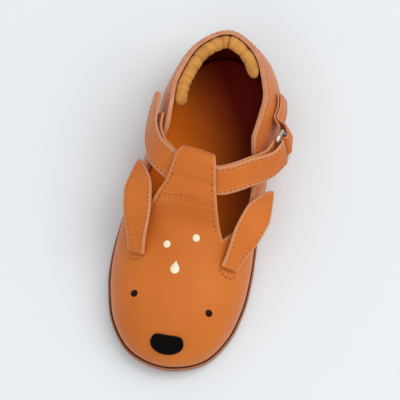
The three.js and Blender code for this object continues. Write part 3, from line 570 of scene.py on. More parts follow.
def bar_patch():
    top_at = T_BAR_TOP[0] + (T_BAR_TOP[1] - T_BAR_TOP[0]) * bar_steps
    front = np.concatenate([cut_rows, np.linspace(CUT_END, RAMP[1], 22)[1:]])[:, None] + 0 * bar_steps
    over = RAMP[1] + (top_at - RAMP[1]) * np.linspace(0, 1, 16)[1:, None]
    along = np.concatenate([front, over])
    up = bar_place(along, bar_steps, bar_lift(along))[0]
    top, low = (bar_place(top_at, bar_steps, off)[0] for off in (LOOP_LIFT, LAP_LOW))
    out = top - low
    radius = (LOOP_LIFT - LAP_LOW) / 2
    out /= np.linalg.norm(out, axis=1)[:, None]
    on = bar_place(top_at, bar_steps, 0)[0] - bar_place(top_at - 0.002, bar_steps, 0)[0]
    on /= np.linalg.norm(on, axis=1)[:, None]
    fold = [
        (top + low) / 2 + out * radius * math.cos(math.pi * k) + on * radius * math.sin(math.pi * k)
        for k in np.linspace(0, 1, 15)[1:-1]
    ]
    back = bar_place(top_at + (LAP_END - top_at) * np.linspace(0, 1, 14)[:, None], bar_steps, LAP_LOW)[0]
    return np.concatenate([up, np.array(fold), back])


def side_patch(medial):
    along = np.concatenate([cut_rows, np.linspace(CUT_END, HEEL_CENTRE / SHOE_LENGTH, 44)[1:]])
    top = edge_turn(along, medial)[:, None]
    grid = last_point(side_knot(along, medial)[:, None], turned(1 + (top - 1) * side_steps[None, :]))
    return grid[:, ::-1] if medial else grid


def heel_patch():
    t = np.linspace(HEEL_SIDE_KNOT, KNOTS - HEEL_SIDE_KNOT, 57)
    top = turn_at_height(t, top_share(outline(t)[:, 1] / SHOE_LENGTH) * COLLAR_HEIGHT)[:, None]
    return last_point(t[:, None], turned(1 + (top - 1) * side_steps[None, :]))[:, ::-1]


def sew_patches(patches):
    """One mesh from grids that share their edge points."""
    points, faces, start = [], [], 0
    for patch in patches:
        rows, columns = patch.shape[:2]
        index = np.arange(rows * columns).reshape(rows, columns) + start
        faces.append(np.stack([index[:-1, :-1], index[:-1, 1:], index[1:, 1:], index[1:, :-1]], -1).reshape(-1, 4))
        points.append(patch.reshape(-1, 3))
        start += rows * columns
    points, faces = np.concatenate(points), np.concatenate(faces)
    cells = np.round(points / 0.004).astype(np.int64)
    _, first, same = np.unique(cells, axis=0, return_index=True, return_inverse=True)
    return points[first], same.reshape(-1)[faces]


def point_normals(points, faces):
    normals = np.zeros_like(points)
    cross = np.cross(points[faces[:, 2]] - points[faces[:, 0]], points[faces[:, 3]] - points[faces[:, 1]])
    for c in range(4):
        np.add.at(normals, faces[:, c], cross)
    return normals / np.maximum(np.linalg.norm(normals, axis=1), 1e-9)[:, None]


def line_distance(points, line):
    best = np.full(len(points), 1e9)
    for a, b in zip(line[:-1], line[1:]):
        ab = b - a
        k = np.clip(((points - a) @ ab) / max(ab @ ab, 1e-9), 0, 1)
        best = np.minimum(best, np.linalg.norm(points - (a + k[:, None] * ab), axis=1))
    return best


def smooth_line(rows, count=24):
    """Points of the last's face through rows of (along, turn), on a Catmull-Rom curve."""
    rows = np.array(rows, float)
    at = np.linspace(0, len(rows) - 1, count)
    i = np.clip(np.floor(at).astype(int), 0, len(rows) - 2)
    pick = lambda n: rows[np.clip(n, 0, len(rows) - 1)]
    uv = curve(pick(i - 1), pick(i), pick(i + 1), pick(i + 2), (at - i)[:, None])
    return place(uv[:, 0], uv[:, 1])


points, faces = sew_patches([
    toe_patch(),
    on_arch(np.linspace(SIDES[0][0], CUT_OUT_FRONT, 27)[:, None], arch_turns[None, :]),
    bar_patch(), side_patch(False), side_patch(True), heel_patch(),
])
normals = point_normals(points, faces)
inner = points - normals * WALL

# Soft creases below the loop and across the ball, and the low lips that the ears come out of.
CREASES = [
    ([(-0.062, -0.3), (-0.068, -0.12), (-0.062, 0.06), (-0.07, 0.2)], 1.5, -0.34),
    ([(-0.083, -0.36), (-0.09, -0.15), (-0.084, 0.05), (-0.094, 0.2)], 1.7, -0.26),
    ([(-0.073, -0.33), (-0.079, -0.14), (-0.073, 0.05), (-0.082, 0.2)], 1.4, 0.22),
    ([(-0.125, -0.62), (-0.14, -0.45), (-0.15, -0.25)], 3.0, -0.22),
    ([(-0.13, 0.66), (-0.15, 0.5), (-0.155, 0.3)], 3.0, -0.2),
]
lift = np.zeros(len(points))
for rows, width, depth in CREASES:
    lift += depth * np.exp(-(line_distance(points, smooth_line(rows)[0]) / width) ** 2)
# On the lifted T-bar: from and to along the shoe, from and to across the bar, width, depth.
BAR_CREASES = [
    (0.033, 0.02, 0.02, 0.98, 0.8, -0.5),
    (-0.01, -0.022, 0.12, 0.55, 1.0, -0.3),
    (-0.03, -0.04, 0.05, 0.85, 1.2, -0.32),
]
for along_from, along_to, share_from, share_to, width, depth in BAR_CREASES:
    along = np.linspace(along_from, along_to, 24)
    line = bar_place(along, np.linspace(share_from, share_to, 24), bar_lift(along))[0]
    lift += depth * np.exp(-(line_distance(points, line) / width) ** 2)
EAR_SLITS = {
    "ear_medial": [(-0.196, 0.36), (-0.212, 0.44), (-0.214, 0.52), (-0.204, 0.58)],
    "ear_lateral": [(-0.19, -0.34), (-0.203, -0.4), (-0.205, -0.49), (-0.196, -0.55)],
}
LIP_HEIGHT, LIP_AHEAD, LIP_WIDTH = 0.75, 1.2, 1.1
for rows in EAR_SLITS.values():
    line = smooth_line(rows)[0]
    lift += LIP_HEIGHT * np.exp(-(line_distance(points, line + np.array([0, -LIP_AHEAD, 0])) / LIP_WIDTH) ** 2)
points = points + normals * lift[:, None]

count = len(points)
edge_use = {}
for f in faces:
    for n in range(4):
        v, w = int(f[n]), int(f[(n + 1) % 4])
        if (w, v) in edge_use:
            del edge_use[(w, v)]
        else:
            edge_use[(v, w)] = True
rim = [(w, v, v + count, w + count) for v, w in edge_use]
shell_faces = np.concatenate([faces, faces[:, ::-1] + count, np.array(rim)])
which = [0] * len(faces) + [1] * len(faces) + [2] * len(rim)

# The pale pink colour that this leather takes near its edges is painted sheen.
tan_leather = finish_nodes(
    "tan_leather", srgb(211, 116, 40), srgb(200, 104, 31), 0.52, 0.03, 0.0007, 0.00006, painted_sheen=srgb(208, 142, 98),
    Specular_IOR_Level=0.22, Coat_Weight=0.03, Coat_Roughness=0.4, Sheen_Weight=0.22, Sheen_Roughness=0.4)
# The lining's dark red towards the heel and the inner side is painted shade.
side_lining = finish_nodes(
    "side_lining", srgb(216, 104, 18), srgb(194, 80, 12), 0.72, 0.02, 0.0006, 0.00006, painted_shade=srgb(112, 22, 6),
    Specular_IOR_Level=0.12)
cut_edge = finish_nodes(
    "cut_edge", srgb(210, 146, 108), srgb(190, 122, 84), 0.6, 0.006, 0.0005, 0.00006, Specular_IOR_Level=0.3)
upper = mesh_piece(
    "upper_shell", np.vstack([points, inner]), shell_faces, which, [tan_leather, side_lining, cut_edge])
ABOVE_SEAT = 4
open_edge = [
    v for v in sorted({v for v, w in edge_use})
    if points[v, 2] > sole_top(points[v, 1] / SHOE_LENGTH) + ABOVE_SEAT
]
tree = KDTree(len(open_edge))
for n, v in enumerate(open_edge):
    tree.insert(points[v], n)
tree.balance()
from_edge = np.array([tree.find(p)[2] for p in points])
# Painted sheen: the shell's face turns paler near its open edges.
PAINTED_SHEEN_START, PAINTED_SHEEN_REACH = 1.05, 1.25
store_painted_sheen(upper, np.tile(np.clip(PAINTED_SHEEN_START - from_edge / PAINTED_SHEEN_REACH, 0, 1), 2))
soften_edges(upper, 0.35)
settle(upper)
upper.data.polygons.foreach_set("use_smooth", [True] * len(upper.data.polygons))
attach(upper, "root")
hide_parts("upper")

# ---------------------------------------------------------------- Collar lining
# Soft yellowish leather is drawn together over elastic inside the top edge, from the strap's start round the
# heel to the tab. It puffs up in lobes between its tucks, with finer wrinkles on them.

ROLL_HEIGHT, ROLL_DEPTH = 5.0, 5.0
ROLL_SPAN = (9.4, 13.95)
ROLL_BELOW_EDGE, ROLL_SINK, ROLL_PRESS, TUCK_WIDTH = 0.4, 1.2, 0.2, 0.011
lining_leather = finish_nodes(
    "lining_leather", srgb(216, 152, 72), srgb(186, 118, 50), 0.62, 0.006, 0.0006, 0.00008,
    Specular_IOR_Level=0.3, Sheen_Weight=0.1)
run = np.linspace(0, 1, 361)
t = ROLL_SPAN[0] + (ROLL_SPAN[1] - ROLL_SPAN[0]) * run
roll_top = top_share(outline(t)[:, 1] / SHOE_LENGTH) * COLLAR_HEIGHT
spot, spot_normal = wall_place(t, roll_top - ROLL_BELOW_EDGE)
inward = -spot_normal * [1, 1, 0]
inward /= np.linalg.norm(inward, axis=1)[:, None]
chance = np.random.default_rng(5)
TUCKS = [0.035, 0.115, 0.2, 0.275, 0.352, 0.43, 0.5, 0.565, 0.64, 0.7, 0.77, 0.83, 0.9, 0.955]
TUCK_DEPTHS = [0.2, 0.26, 0.4, 0.22, 0.6, 0.26, 0.4, 0.22, 0.34, 0.2, 0.3, 0.2, 0.24, 0.18]
tuck = sum(-depth * np.exp(-np.abs((run - at) / TUCK_WIDTH) ** 1.4) for at, depth in zip(TUCKS, TUCK_DEPTHS))
fine = sum(
    depth * np.sin(2 * math.pi * run * waves + shift)
    for depth, waves, shift in zip((0.02, 0.016, 0.012), (31, 47, 71), chance.uniform(0, 6, 3)))
lobe = np.interp(run, np.linspace(0, 1, 23), chance.uniform(-1, 1, 23))
roll_end = np.sqrt(np.clip(np.minimum(run, 1 - run) * 26 + 0.12, 0, 1))
centre = (
    spot - spot_normal * (WALL + GAP) + inward * (ROLL_DEPTH / 2 * 1.1 - ROLL_PRESS) - np.array([0, 0, ROLL_SINK]))
rings = []
for s in range(28):
    a = 2 * math.pi * s / 28
    on_top = max(0.0, math.sin(a + 0.4))
    size = (1.1 + 0.05 * lobe + (tuck + fine * (1 + on_top)) * (0.35 + 0.65 * on_top)) * roll_end
    rings.append(
        centre + inward * (math.cos(a) * ROLL_DEPTH / 2 * size)[:, None]
        + np.array([0, 0, 1]) * (math.sin(a) * ROLL_HEIGHT / 2 * size)[:, None])
points, faces = loft(np.array(rings).transpose(1, 0, 2))
collar_lining = mesh_piece("collar_lining_gathered", points, faces, None, [lining_leather])
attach(collar_lining, "root")
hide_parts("collar_lining")

# ---------------------------------------------------------------- Strap
# One long leather band with sewn edges. It is sewn on at the outer side, runs through the T-bar's loop to the
# ring, turns round it and comes back through the loop; its round end stands a little off the quarter.

STRAP_WIDTH = 12.5
STRAP_STANDS_OFF = 1.1
RING_STANDS_OFF = 3.2
RING_KNOTS = 2.6
STITCH_MARGIN = 1.5
RING_WIRE = 1.8
RING_REACH = 6.3
STRAP_COURSE = np.array([
    (0.278, -0.795), (0.216, -0.77), (0.155, -0.7), (0.1, -0.53), (0.063, -0.36), (0.04, -0.2), (0.029, 0),
    (0.03, 0.2), (0.05, 0.36), (0.085, 0.53), (0.13, 0.7), (0.17, 0.785),
])
COURSE_END = len(STRAP_COURSE) - 1
inner_off = GAP + STRAP_THICKNESS / 2
outer_off = inner_off + STRAP_THICKNESS + GAP
fold_radius = RING_WIRE / 2 + GAP + STRAP_THICKNESS / 2


def course_place(at, off):
    i = np.clip(np.floor(at).astype(int), 0, COURSE_END - 1)
    pick = lambda n: STRAP_COURSE[np.clip(n, 0, COURSE_END)]
    uv = curve(pick(i - 1), pick(i), pick(i + 1), pick(i + 2), (at - i)[:, None])
    dip = LOOP_DIP * (1 - ease((np.abs(uv[:, 1]) - 0.24) / 0.3))
    return place(uv[:, 0], uv[:, 1], off - dip)


def frames_of(path, count):
    """Points of a band's course with its directions: ahead, wide and away from the shoe."""
    k = np.linspace(0, 1, count + 1)
    d = 0.4 / 33
    ahead = path(np.minimum(1, k + d))[0] - path(np.maximum(0, k - d))[0]
    ahead /= np.linalg.norm(ahead, axis=1)[:, None]
    point, normal = path(k)
    wide = np.cross(ahead, normal)
    wide /= np.linalg.norm(wide, axis=1)[:, None]
    return point, ahead, wide, np.cross(wide, ahead)


def sewn_band(centre, wide, normal, half, thickness, trough=0.13, margin=STITCH_MARGIN):
    """Rings of a leather band: rounded edges, and a shallow trough where each edge is sewn."""
    side = np.array([0, 0.25, 0.5, 0.7, 0.82, 0.9, 0.95, 0.98, 0.995])
    across = np.concatenate([-side[:0:-1], side])
    half = np.asarray(half, float)[:, None]
    w = across[None, :] * half
    thick = thickness / 2 * np.sqrt(np.maximum(0, 1 - np.abs(across) ** 9))[None, :]
    sink = trough * np.exp(-(((half - np.abs(w)) - margin) / 0.5) ** 2) * (half > 2 * margin)
    over = centre[:, None] + wide[:, None] * w[..., None] + normal[:, None] * (thick - sink)[..., None]
    under = centre[:, None] + wide[:, None] * w[..., None] - normal[:, None] * (thick - sink)[..., None]
    return np.concatenate([over, under[:, ::-1]], 1)


def stitch_row(points, normals, pitch=2.3, length=1.55, radius=0.24, sink=0.1):
    """Rounded thread stitches in a row along points of a face."""
    points, normals = np.asarray(points, float), np.asarray(normals, float)
    step = np.linalg.norm(np.diff(points, axis=0), axis=1)
    run = np.concatenate([[0], np.cumsum(step)])
    total = run[-1]
    number = max(1, int(total // pitch))
    at = (np.arange(number) + 0.5) * total / number
    sample = lambda values, where: np.stack([np.interp(where, run, values[:, c]) for c in range(3)], -1)
    middle = sample(points, at)
    ahead = sample(points, np.minimum(total, at + 0.3)) - sample(points, np.maximum(0, at - 0.3))
    ahead /= np.linalg.norm(ahead, axis=1)[:, None]
    up = sample(normals, at)
    up -= ahead * (up * ahead).sum(1)[:, None]
    up /= np.linalg.norm(up, axis=1)[:, None]
    aside = np.cross(ahead, up)
    out_points, out_faces = [], []
    for n in range(number):
        rings = []
        for k, size in ((-0.5, 0.35), (-0.38, 0.85), (0, 1.0), (0.38, 0.85), (0.5, 0.35)):
            core = middle[n] + ahead[n] * length * k + up[n] * (radius * 0.4 - sink - 1.1 * radius * abs(2 * k) ** 3)
            rings.append([
                core + (aside[n] * math.cos(a) + up[n] * 0.75 * math.sin(a)) * radius * size
                for a in np.linspace(0, 2 * math.pi, 7)[:-1]
            ])
        p, f = loft(rings)
        out_faces += [[v + len(out_points) * len(p) for v in face] for face in f]
        out_points.append(p)
    return np.concatenate(out_points), out_faces


def stitches(name, rows, thread):
    points, faces, start = [], [], 0
    for row_points, row_faces in rows:
        points.append(row_points)
        faces += [[v + start for v in f] for f in row_faces]
        start += len(row_points)
    piece = mesh_piece(name, np.concatenate(points), faces, None, [thread])
    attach(piece, "root")
    return piece


thread = finish_nodes(
    "tan_thread", srgb(168, 88, 48), srgb(136, 66, 34), 0.6, 0.004, 0.0003, 0.00005, Specular_IOR_Level=0.3)

inner_run = frames_of(
    lambda k: course_place(
        1 + (COURSE_END - 1) * k,
        inner_off + RING_STANDS_OFF * ease(((COURSE_END - 1) * (k - 1) + RING_KNOTS) / RING_KNOTS)), 130)
lift = 2 * fold_radius - (outer_off - inner_off)


def outer_path(k):
    at = COURSE_END * (1 - k)
    at_ring = ease((at - COURSE_END + RING_KNOTS) / RING_KNOTS)
    at_end = ease((2.6 - at) / 2)
    return course_place(at, outer_off + (lift + RING_STANDS_OFF) * at_ring + STRAP_STANDS_OFF * at_end)


outer_run = frames_of(outer_path, 150)
ring_up = outer_run[0][0] - inner_run[0][-1]
turn_radius = np.linalg.norm(ring_up) / 2
ring_centre = (outer_run[0][0] + inner_run[0][-1]) / 2
ring_up /= np.linalg.norm(ring_up)
ring_ahead = inner_run[1][-1] - ring_up * (inner_run[1][-1] @ ring_up)
ring_ahead /= np.linalg.norm(ring_ahead)
ring_wide = np.cross(ring_ahead, ring_up)
arc = np.linspace(0, math.pi, 20)[1:-1]
out = -ring_up * np.cos(arc)[:, None] + ring_ahead * np.sin(arc)[:, None]
centre = np.concatenate([inner_run[0], ring_centre + out * turn_radius, outer_run[0]])
wide = np.concatenate([inner_run[2], np.tile(ring_wide, (len(arc), 1)), -outer_run[2]])
normal = np.concatenate([inner_run[3], -out, -outer_run[3]])
distance = np.concatenate([[0], np.cumsum(np.linalg.norm(np.diff(centre, axis=0), axis=1))])
rest = distance[-1] - distance + 0.35
half = np.where(
    rest >= STRAP_WIDTH / 2, STRAP_WIDTH / 2,
    np.sqrt(np.maximum(0, (STRAP_WIDTH / 2) ** 2 - (STRAP_WIDTH / 2 - rest) ** 2)))
rings = sewn_band(centre, wide, normal, half, STRAP_THICKNESS)
points, faces = loft(rings)
strap = mesh_piece("strap_band", points, faces, None, [tan_leather])
# The strap's painted sheen reaches further in from its edges, lightening its run as grazing light does.
store_painted_sheen(strap, band_painted_sheen(rings, centre, wide, half, 2.2))
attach(strap, "root")
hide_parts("strap")

rows = []
n0 = len(inner_run[0]) + len(arc)
for side in (-1, 1):
    edge = side * (STRAP_WIDTH / 2 - STITCH_MARGIN)
    seen = slice(n0, len(centre) - 9)
    rows.append(stitch_row(
        centre[seen] + wide[seen] * edge - normal[seen] * (STRAP_THICKNESS / 2 - 0.1), -normal[seen]))
    seen = slice(0, len(inner_run[0]))
    rows.append(stitch_row(
        centre[seen] + wide[seen] * edge + normal[seen] * (STRAP_THICKNESS / 2 - 0.1), normal[seen]))
stitches("strap_stitches", rows, thread)

# ---------------------------------------------------------------- Ring
# A rounded rectangle of plain round wire, its two ends butted and welded. The strap turns round its front bar,
# the tab holds its rear bar.

ring_metal = finish_nodes(
    "ring_metal", srgb(222, 214, 200), srgb(196, 186, 170), 0.3, 0.004, 0.0008, 0.00002, Metallic=1.0)
ring_long, corner = STRAP_WIDTH + 2 * GAP + RING_WIRE + 0.6, 1.6
path = []
for n, (su, sv) in enumerate([(1, 1), (-1, 1), (-1, -1), (1, -1)]):
    for k in np.linspace(0, 1, 9):
        a = (n + k) * math.pi / 2
        path.append(
            ring_centre + ring_ahead * (RING_REACH / 2 + su * (RING_REACH / 2 - corner) + corner * math.cos(a))
            + ring_wide * (sv * (ring_long / 2 - corner) + corner * math.sin(a)))
path = np.array(path)
along = np.roll(path, -1, 0) - np.roll(path, 1, 0)
along /= np.linalg.norm(along, axis=1)[:, None]
aside = np.cross(along, ring_up)
rings = [
    [p + (o * math.cos(a) + ring_up * math.sin(a)) * RING_WIRE / 2 for a in np.linspace(0, 2 * math.pi, 17)[:-1]]
    for p, o in zip(path, aside)
]
points, faces = loft(rings, closed_run=True)
strap_ring = mesh_piece("strap_ring_wire", points, faces, None, [ring_metal])
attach(strap_ring, "root")
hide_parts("strap_ring")

# ---------------------------------------------------------------- Ring tab
# A leather strip folded once round the ring's rear bar and sewn flat on the inner side of the quarter.

TAB_WIDTH, TAB_THICKNESS = 9.8, 1.0
TAB_HEIGHT, TAB_SPAN = (0.61, 0.57), (7.9, 9.15)
bar = ring_centre + ring_ahead * RING_REACH
tab_radius = RING_WIRE / 2 + GAP + TAB_THICKNESS / 2
tab_low = GAP + 0.1 + TAB_THICKNESS / 2
tab_high = tab_low + TAB_THICKNESS + 0.2
TAB_LOW_RISE, TAB_HIGH_RISE, TAB_OVER_SHARE = 3.55, 5.95, 0.97


def near_ring(k):
    return 1 - ease(k / 0.3)


def tab_spot(k, off):
    height = (TAB_HEIGHT[0] + (TAB_HEIGHT[1] - TAB_HEIGHT[0]) * k) * COLLAR_HEIGHT
    return wall_place(TAB_SPAN[0] + (TAB_SPAN[1] - TAB_SPAN[0]) * k, height, off)


under = frames_of(lambda k: tab_spot(1 - k, tab_low + TAB_LOW_RISE * near_ring(1 - k)), 40)
over = frames_of(
    lambda k: tab_spot(TAB_OVER_SHARE * k, tab_high + TAB_HIGH_RISE * near_ring(TAB_OVER_SHARE * k)), 50)
arc = np.linspace(0, math.pi, 18)
out = -ring_up * np.cos(arc)[:, None] - ring_ahead * np.sin(arc)[:, None]
centre = np.concatenate([under[0], bar + out * tab_radius, over[0]])
wide = np.concatenate([under[2], np.tile(-ring_wide, (len(arc), 1)), -over[2]])
normal = np.concatenate([under[3], -out, -over[3]])
half = np.full(len(centre), TAB_WIDTH / 2)
rings = sewn_band(centre, wide, normal, half, TAB_THICKNESS)
points, faces = loft(rings)
ring_tab = mesh_piece("ring_tab_strip", points, faces, None, [tan_leather])
# Painted sheen near the tab's edges.
store_painted_sheen(ring_tab, band_painted_sheen(rings, centre, wide, half))
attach(ring_tab, "root")
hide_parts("ring_tab")
rows = []
for side in (-1, 1):
    row = over[0] + over[2] * side * (TAB_WIDTH / 2 - STITCH_MARGIN) + over[3] * (TAB_THICKNESS / 2 - 0.1)
    rows.append(stitch_row(row[8:], over[3][8:]))
stitches("tab_stitches", rows, thread)

# ---------------------------------------------------------------- Ears
# Each ear is two leaves of leather sewn together round the edge, cupped along its middle. Its base goes
# through a slit of the vamp, whose front lip is turned up a little and sewn; the rest of the ear is free.

EAR_WIDTH, EAR_BASE, EAR_THICKNESS = 13.4, 8.6, 1.9
EARS = [
    ("ear_medial", (-0.203, 0.46), (0.062, 0.785), 5.0, 4.6),
    ("ear_lateral", (-0.198, -0.43), (0.078, -0.71), 3.2, 7.3),
]
ear_rows = []
for ear_name, root, tip, off, arch in EARS:
    ear_from = place(*root, GAP + 0.3 + EAR_THICKNESS / 2)[0]
    ear_to = place(*tip, off)[0]

    def ear_path(k):
        k = np.asarray(k, float)
        on_normal = place(root[0] + (tip[0] - root[0]) * k, root[1] + (tip[1] - root[1]) * k**1.6)[1]
        up = on_normal + (np.array([0, 0, 1.0]) - on_normal) * (0.5 * ease(k * 1.4))[:, None]
        point = ear_from + (ear_to - ear_from) * k[:, None] + np.outer(4 * arch * k * (1 - k), [0, 0, 1])
        return point, up / np.linalg.norm(up, axis=1)[:, None]

    centre, ahead, wide, normal = frames_of(ear_path, 60)
    k = np.linspace(0, 1, 61)
    swell = np.sin(math.pi * np.clip(k * 0.86 + 0.06, 0, 1)) ** 0.8
    half = (EAR_BASE + (EAR_WIDTH - EAR_BASE) * swell * ease(k * 2.4 + 0.02)) / 2
    half = np.maximum(0.25, half * np.sqrt(np.clip((1 - k) * 3.2, 0, 1)))
    rings = sewn_band(centre, wide, normal, half, EAR_THICKNESS, 0.16)
    cup = 0.5 * ease(k * 3) * ease((1 - k) * 4)
    share = ((rings - centre[:, None]) * wide[:, None]).sum(-1) / half[:, None]
    rings = rings + normal[:, None] * (cup[:, None] * (share**2 - 0.4))[..., None]
    points, faces = loft(rings)
    ear = mesh_piece(ear_name + "_leaves", points, faces, None, [tan_leather])
    # Painted sheen near the ear's edges.
    store_painted_sheen(ear, band_painted_sheen(rings, centre, wide, half, 1.6))
    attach(ear, "root")
    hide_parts(ear_name)
    for side in (-1, 1):
        keep = slice(2, 56)
        edge = np.maximum(0.2, half - STITCH_MARGIN)
        raised = EAR_THICKNESS / 2 - 0.12 + cup * ((edge / half) ** 2 - 0.4)
        row = centre + wide * (side * edge)[:, None] + normal * raised[:, None]
        ear_rows.append(stitch_row(row[keep], normal[keep], pitch=2.1, length=1.4, radius=0.2))
stitches("ear_stitches", ear_rows, thread)

# ---------------------------------------------------------------- Nose, eyes and spots
# The nose is a D of black leather sewn on the toe; the eyes, the two spots and the drop are printed on, thin and
# matt.

NOSE_WIDTH, NOSE_LENGTH, NOSE_TURN = 14.2, 9.6, 0.535
nose_leather = finish_nodes(
    "nose_leather", srgb(8, 5, 3), srgb(4, 3, 2), 0.6, 0.003, 0.0007, 0.00012, Specular_IOR_Level=0.06)
toe_reach = float(np.linalg.norm(last_point(0, turned(NOSE_TURN)) - last_point(0, turned(NOSE_TURN + 0.1)))) / 0.1
toe_radius = abs(float(last_point(0, turned(NOSE_TURN))[1]) - TOE_CENTRE)


def on_nose(x, y, off):
    t = np.degrees(np.arctan2(x, toe_radius)) / 90 * TOE_SIDE_KNOT
    return toe_place(t, NOSE_TURN - y / toe_reach, off)


a = np.linspace(0, 2 * math.pi, 73)[:-1]
c, s = np.cos(a), np.sin(a)
nose_x = np.sign(c) * np.abs(c) ** 0.8 * np.where(s > 0, 1, 1 - 0.12 * s * s) * NOSE_WIDTH / 2
nose_y = np.where(s > 0, 0.72 * np.abs(s) ** 0.55, s) * NOSE_LENGTH / 2
rings = [
    on_nose(nose_x * k, nose_y * k, np.full(len(a), GAP + up))[0]
    for k, up in ((0.02, 0.0), (0.5, 0.0), (0.97, 0.0), (1.0, 0.2), (1.0, 0.5), (0.98, 0.72), (0.94, 0.86), (0.87, 0.82),
                  (0.8, 0.92), (0.6, 1.0), (0.35, 1.03), (0.02, 1.04))
]
points, faces = loft(rings)
nose = mesh_piece("nose_patch_leather", points, faces, None, [nose_leather])
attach(nose, "root")
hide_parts("nose_patch")

eye_black = finish_nodes(
    "eye_print", srgb(30, 8, 4), srgb(18, 4, 2), 0.45, 0.002, 0.0005, 0.00003, Specular_IOR_Level=0.15)
spot_cream = finish_nodes(
    "spot_print", srgb(255, 238, 208), srgb(246, 224, 190), 0.5, 0.002, 0.0005, 0.00003, Specular_IOR_Level=0.3)


def plan_place(x, y, off):
    """The last's face above a point of the plan, found by moving the turn and the loop position."""
    x, y = np.asarray(x, float), np.asarray(y, float)
    front = y < TOE_CENTRE
    mid_x = np.where(front, spine(0.0)[0], spine(side_knot(np.maximum(y, TOE_CENTRE) / SHOE_LENGTH, True))[..., 0])
    medial = x >= mid_x
    t = side_knot(np.maximum(y, TOE_CENTRE) / SHOE_LENGTH, medial)
    angle = np.arctan2(np.abs(x - mid_x), np.maximum(1e-6, TOE_CENTRE - y))
    round_toe = solve(0, TOE_SIDE_KNOT, lambda m: np.arctan2(
        np.abs(outline(np.where(medial, m, KNOTS - m))[..., 0] - mid_x),
        np.maximum(1e-6, TOE_CENTRE - outline(np.where(medial, m, KNOTS - m))[..., 1])) < angle, x.shape)
    t = np.where(front, np.where(medial, round_toe, KNOTS - round_toe), t)
    goal = np.where(front, np.hypot(x - mid_x, y - TOE_CENTRE), np.abs(x - mid_x))
    centre = np.stack([mid_x, np.where(front, TOE_CENTRE, y)], -1)
    turn = solve(0, 1, lambda m: np.linalg.norm(
        last_point(t, turned(m))[..., :2] - centre, axis=-1) < goal, x.shape)
    return toe_place(t, turn, np.broadcast_to(off, x.shape))


def printed_mark(name, x, y, outline_x, outline_y, material):
    """A thin mark on the vamp around a point of the plan."""
    rings = [
        plan_place(x + outline_x * k, y + outline_y * k, up)[0]
        for k, up in ((0.03, -0.2), (1.0, -0.2), (1.0, 0.08), (0.96, 0.13), (0.03, 0.14))
    ]
    points, faces = loft(rings)
    piece = mesh_piece(name, points, faces, None, [material])
    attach(piece, "root")


EYES = [("eye_medial", 11.9, -48.6, 1.45), ("eye_lateral", -20.5, -45.3, 1.45)]
for name, x, y, radius in EYES:
    printed_mark(name, x, y, c[::2] * radius, s[::2] * radius, eye_black)
SPOTS = [("spot_medial", 1.7, -19.6, 1.5), ("spot_lateral", -10.1, -23.8, 1.5)]
for name, x, y, radius in SPOTS:
    printed_mark(name, x, y, c[::2] * radius, s[::2] * radius, spot_cream)
drop_x = 1.95 * c * (1 - np.maximum(s, 0) ** 1.5)
drop_y = np.where(s > 0, 3.6 * s, 1.95 * s)
printed_mark("spot_drop", -5.1, -33.5, drop_x[::2], drop_y[::2], spot_cream)

# ---------------------------------------------------------------- Stitching of the upper
# The T-bar's edges, the loop's end, the cut-outs, the collar and the lips of the ears' slits are sewn in tan
# thread, about 2 mm from the edge.

EDGE_MARGIN = 2.0
rows = []
bar_along = np.linspace(CUT_OUT_FRONT + 0.01, T_BAR_TOP[1], 60)
for k in (0.075, 0.925):
    p, n = bar_place(bar_along, np.full(60, k), bar_lift(bar_along))
    rows.append(stitch_row(p, n))
across = np.linspace(0.1, 0.9, 30)
lap_along = np.full(30, RAMP[1] - 0.004)
p, n = bar_place(lap_along, across, bar_lift(lap_along))
rows.append(stitch_row(p, n, radius=0.16))
wall_along = np.linspace(CUT_OUT_FRONT + 0.03, HEEL_CENTRE / SHOE_LENGTH, 90)
for medial in (False, True):
    t = side_knot(wall_along, medial)
    height = last_point(t, turned(edge_turn(wall_along, medial)))[:, 2] - EDGE_MARGIN
    p, n = wall_place(t, height)
    rows.append(stitch_row(p, n))
t = np.linspace(HEEL_SIDE_KNOT, KNOTS - HEEL_SIDE_KNOT, 60)
p, n = wall_place(t, top_share(outline(t)[:, 1] / SHOE_LENGTH) * COLLAR_HEIGHT - EDGE_MARGIN)
rows.append(stitch_row(p, n))
for slit in EAR_SLITS.values():
    p, n = smooth_line(slit)
    rows.append(stitch_row(p + np.array([0, -2.0, 0]) + n * 0.5, n, pitch=1.9, length=1.3, radius=0.2))
stitches("upper_stitches", rows, thread)

# ---------------------------------------------------------------- Floor, light and camera
# A plain pale floor, soft light from the upper right with a weaker one over the toe, and the photograph's high
# angle.

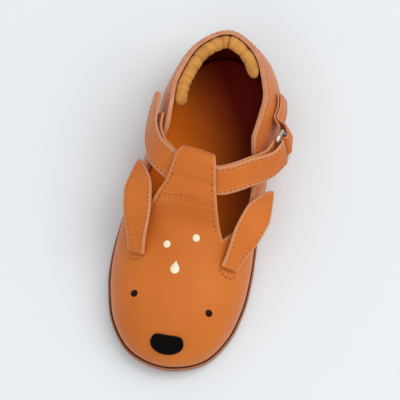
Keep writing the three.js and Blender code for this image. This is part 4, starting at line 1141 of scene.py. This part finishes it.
floor_material = bpy.data.materials.new("pale_floor")
floor_material.use_nodes = True
floor_shader = floor_material.node_tree.nodes["Principled BSDF"]
floor_shader.inputs["Base Color"].default_value = srgb(232, 237, 240)
floor_shader.inputs["Roughness"].default_value = 0.9
floor_shader.inputs["Specular IOR Level"].default_value = 0.1
FLOOR_HALF, FLOOR_BELOW = 4000, 0.05
floor = mesh_piece(
    "floor", [(x * FLOOR_HALF, y * FLOOR_HALF, -FLOOR_BELOW) for x, y in ((-1, -1), (1, -1), (1, 1), (-1, 1))],
    [(0, 1, 2, 3)], None, [floor_material])

world = bpy.data.worlds.new("studio")
world.use_nodes = True
world.node_tree.nodes["Background"].inputs["Color"].default_value = (0.95, 0.975, 1.0, 1)
world.node_tree.nodes["Background"].inputs["Strength"].default_value = 0.6
bpy.context.scene.world = world


def soft_light(name, place, aim, size, watts, colour=(1, 1, 1)):
    light = bpy.data.lights.new(name, "AREA")
    light.size = size
    light.energy = watts
    light.color = colour
    lamp = bpy.data.objects.new(name, light)
    lamp.location = place
    lamp.rotation_euler = (Vector(aim) - Vector(place)).to_track_quat("-Z", "Y").to_euler()
    bpy.context.scene.collection.objects.link(lamp)


soft_light("window", (0.75, 0.25, 1.45), (0, 0, 0.02), 1.1, 11.5, (1, 0.985, 0.97))
soft_light("overhead", (-0.25, -0.8, 1.5), (0, 0, 0), 1.2, 5)
bpy.context.scene.view_settings.view_transform = "Standard"

CAMERA_AZIMUTH, CAMERA_HEIGHT, CAMERA_DISTANCE = 9.5, 74.0, 1.4
FRAME_WIDTH_MM = 170.0
TARGET_HEIGHT = 0.022
a, e = math.radians(CAMERA_AZIMUTH), math.radians(CAMERA_HEIGHT)
back = Vector((math.sin(a) * math.cos(e), -math.cos(a) * math.cos(e), math.sin(e)))
camera = bpy.data.objects.new("camera", bpy.data.cameras.new("camera"))
camera.location = Vector(SHIFT / 1000) + Vector((0, 0, TARGET_HEIGHT)) + back * CAMERA_DISTANCE
camera.rotation_euler = back.to_track_quat("Z", "Y").to_euler()
camera.data.angle = 2 * math.atan(FRAME_WIDTH_MM / 2000 / CAMERA_DISTANCE)
camera.data.clip_end = 20
bpy.context.scene.collection.objects.link(camera)
bpy.context.scene.camera = camera
